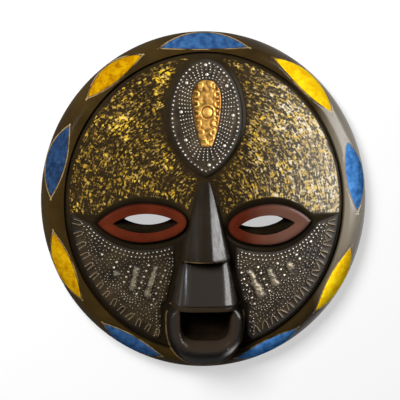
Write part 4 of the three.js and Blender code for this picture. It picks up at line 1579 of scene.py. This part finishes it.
left_pattern = cheek_emboss(
    eye=EYES[0],
    splay=0.02,
    rows=[
        ((-68, -55.3), (-73.7, -70.1), 4, 1.25),
        ((-51.5, -53.8), (-62.4, -81.2), 6, 1.3),
        ((-36.2, -58.5), (-48.9, -91.4), 7, 1.25),
    ],
    large_dots=[(-80.4, -51.4), (-83, -56.6), (-93.6, -44.6)],
    welts=[((-61, -52.5), (-67, -80)), ((-42.8, -51), (-54.3, -87)), ((-79, -57), (-82, -67))],
    border_angles=np.linspace(-7, -68, 14),
    seed=3,
)
right_pattern = cheek_emboss(
    eye=EYES[1],
    splay=0.14,
    rows=[
        ((32.8, -61.2), (45.3, -91.3), 6, 1.3),
        ((48, -56.4), (58.8, -79.1), 5, 1.35),
        ((65.8, -53.4), (72.3, -64.7), 3, 1.35),
    ],
    large_dots=[(83.2, -45.8), (86.3, -49.8), (96.5, -33.9)],
    welts=[((38.4, -56), (53.4, -87.5)), ((56, -55.5), (67, -76.5)), ((74, -50.5), (80.2, -62))],
    border_angles=np.linspace(-3, -66, 15),
    seed=5,
)
nodes = ("left_cheek_sheet", "right_cheek_sheet")
for node, eye, pattern in zip(nodes, EYES, (left_pattern, right_pattern)):
    sheet = make_sheet("embossed_" + node, node, cheek_outline(eye), pattern, face_height)
    sheet.data.materials.append(metal.material)

# %% [markdown]
# The forehead sheet has one row of dots along its edge, and short rows that stand out
# like rays from the brass leaf. Nine large dots lie between the two.

# %% Forehead sheet
LEAF_LOW_Y = 54.7
LEAF_HIGH_Y = 113.9
LEAF_HALF_WIDTH = 13.7
LEAF_X = 1.2
LARGE_FOREHEAD_DOT = 1.75  # radius
RAY_STEP = 2.5
RAY_DOTS = 5
RAY_FAN = 0.09  # how much the rays spread from the leaf's middle


def leaf_half_width(share):
    """Half width of the brass leaf, from its blunt foot (0) to its tip (1)."""
    foot = 1 - 0.68 * (1 - share) ** 2.5
    return LEAF_HALF_WIDTH * foot * np.sqrt(1 - share**8)


def leaf_outline(step, grow=0.0):
    share = np.linspace(0, 0.9995, 90)
    half = leaf_half_width(share) + grow
    y = lerp(LEAF_LOW_Y - grow, LEAF_HIGH_Y + grow, share)
    right = np.column_stack([LEAF_X + half, y])
    left = np.column_stack([LEAF_X - half, y])[::-1]
    return even_points(closed(np.vstack([right, left])), step)[:-1]


forehead_pattern = Emboss(11)
for x, y in [
    (0.4, 127.2), (1.5, 118.8), (-16.7, 111.4), (19.2, 108.6), (-21.7, 85.6),
    (24.7, 82.4), (-17.7, 60.7), (16.9, 55.5), (3.1, 38.4),
]:
    forehead_pattern.dot(x, y, LARGE_FOREHEAD_DOT)
forehead_pattern.row(closed(pad_outline(-5.7, 240)), 3.9, 1.12, 0.85)
ray_feet = leaf_outline(2.9, 1.9)
outward = np.gradient(ray_feet, axis=0)[:, ::-1] * (1, -1)
outward /= np.hypot(*outward.T)[:, None]
outward = sum(np.roll(outward, step, axis=0) for step in (-1, 0, 1))
outward += RAY_FAN * (ray_feet - (LEAF_X, (LEAF_LOW_Y + LEAF_HIGH_Y) / 2))
outward /= np.hypot(*outward.T)[:, None]
for foot, way in zip(ray_feet, outward):
    for step in range(RAY_DOTS):
        x, y = foot + way * RAY_STEP * step
        forehead_pattern.dot(x, y, 0.74, forehead_pattern.random.uniform(0.4, 0.95))

forehead_loop = even_points(closed(pad_outline(-2.6, 160)), 1.5)[:-1]
forehead_sheet = make_sheet(
    "embossed_forehead_sheet",
    "forehead_sheet",
    forehead_loop,
    forehead_pattern,
    lambda x, y: face_height(x, y) + PAD_PROUD,
)
forehead_sheet.data.materials.append(metal.material)

# %% [markdown]
# ## The brass leaf
# A leaf of thin brass lies in the middle of the forehead sheet. Curls run along its
# edge and a round boss stands in its middle. All of it is pressed, so it is one skin.

# %% Brass leaf
LEAF_LIFT = 4.4  # of the leaf above the face, where nothing is pressed up or down
LEAF_EDGE_DROP = 0.5
CURL_COUNT = 7
CURL_RADIUS = 2.2
CURL_HEIGHT = 0.95
CURL_WIDTH = 0.65
CURL_INSET = 3.2  # from the leaf's edge to the middle of a curl
BOSS = (1.7, 85.2)
BOSS_RADIUS = 4.7
BOSS_HEIGHT = 2.3
RING_GAP = 1.9  # from the boss to the ring round it
RING_WIDTH = 0.6
RING_HEIGHT = 0.7
LUMP_SWELL = (3.2, 0.5)


def leaf_relief(x, y):
    """Curls along the edge, lumps in the middle, and a boss with a ring round it."""
    relief = np.zeros_like(x)
    for side in (-1, 1):
        for share in np.linspace(0.07, 0.93, CURL_COUNT):
            middle_x = LEAF_X + side * (leaf_half_width(share) - CURL_INSET)
            middle_y = lerp(LEAF_LOW_Y, LEAF_HIGH_Y, share)
            away = np.hypot(x - middle_x, (y - middle_y) * 0.9)
            outward = side * (x - middle_x) / np.maximum(away, 0.1)
            curl = np.exp(-(((away - CURL_RADIUS) / CURL_WIDTH) ** 2)) * (outward < 0.5)
            relief = np.maximum(relief, curl * CURL_HEIGHT)
    away = np.hypot(x - BOSS[0], y - BOSS[1])
    ring = np.exp(-(((away - BOSS_RADIUS - RING_GAP) / RING_WIDTH) ** 2)) * RING_HEIGHT
    boss = BOSS_HEIGHT * np.sqrt(np.clip(1 - (away / BOSS_RADIUS) ** 2, 0, 1))
    lumps = 0.35 + swell(x, y, *LUMP_SWELL)
    inner = soft_step((LEAF_HALF_WIDTH * 0.62 - np.abs(x - LEAF_X)) / 2)
    relief = np.maximum(relief, lumps * inner * (away > BOSS_RADIUS + 0.8))
    return np.maximum(np.maximum(relief, ring), boss)


leaf_loop = leaf_outline(0.7)
leaf_plan = Plan(leaf_loop)
for radius in (BOSS_RADIUS, BOSS_RADIUS * 0.93, BOSS_RADIUS * 0.8):
    leaf_plan.dots(oval(radius, radius, 40) + BOSS)
leaf_plan.fill(0.5, everywhere)
leaf_places, leaf_faces = leaf_plan.triangles()
leaf_x, leaf_y = leaf_places.T
pressing = leaf_relief(leaf_x, leaf_y)
edge_drop = soft_step(1 - nearest(even_points(leaf_loop, 0.3), leaf_x, leaf_y) / 1.1)
leaf_z = face_height(leaf_x, leaf_y) + LEAF_LIFT + pressing * (1 - edge_drop)
leaf_z -= edge_drop * LEAF_EDGE_DROP
leaf_points = np.column_stack([leaf_x, leaf_y, leaf_z])
brass_leaf = make_piece("pressed_brass_leaf", leaf_points, leaf_faces, is_solid=False)
mark(brass_leaf, leaf_points, pressing=(pressing, 0))
thicken(brass_leaf)
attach(brass_leaf, "root")
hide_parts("brass_leaf")
print("brass leaf:", count_triangles(brass_leaf), "triangles")

# %% Tarnished brass
gold = Finish("tarnished_brass")
high = (gold.attribute("pressing") + gold.noise(1.5, 3) * 0.4).ramp(0.16, 0.85)
deep = gold.mix(gold.noise(6, 3).ramp(0.35, 0.65), rgb(62, 33, 11), rgb(132, 84, 27))
gold.set(base_color=gold.mix(high, deep, rgb(234, 178, 88)))
gold.set(metallic=0.75, roughness=gold.noise(3, 3) * 0.2 + 0.36)
gold.set(normal=gold.bump(gold.noise(0.9, 3), 0.12, 0.6))
brass_leaf.data.materials.append(gold.material)
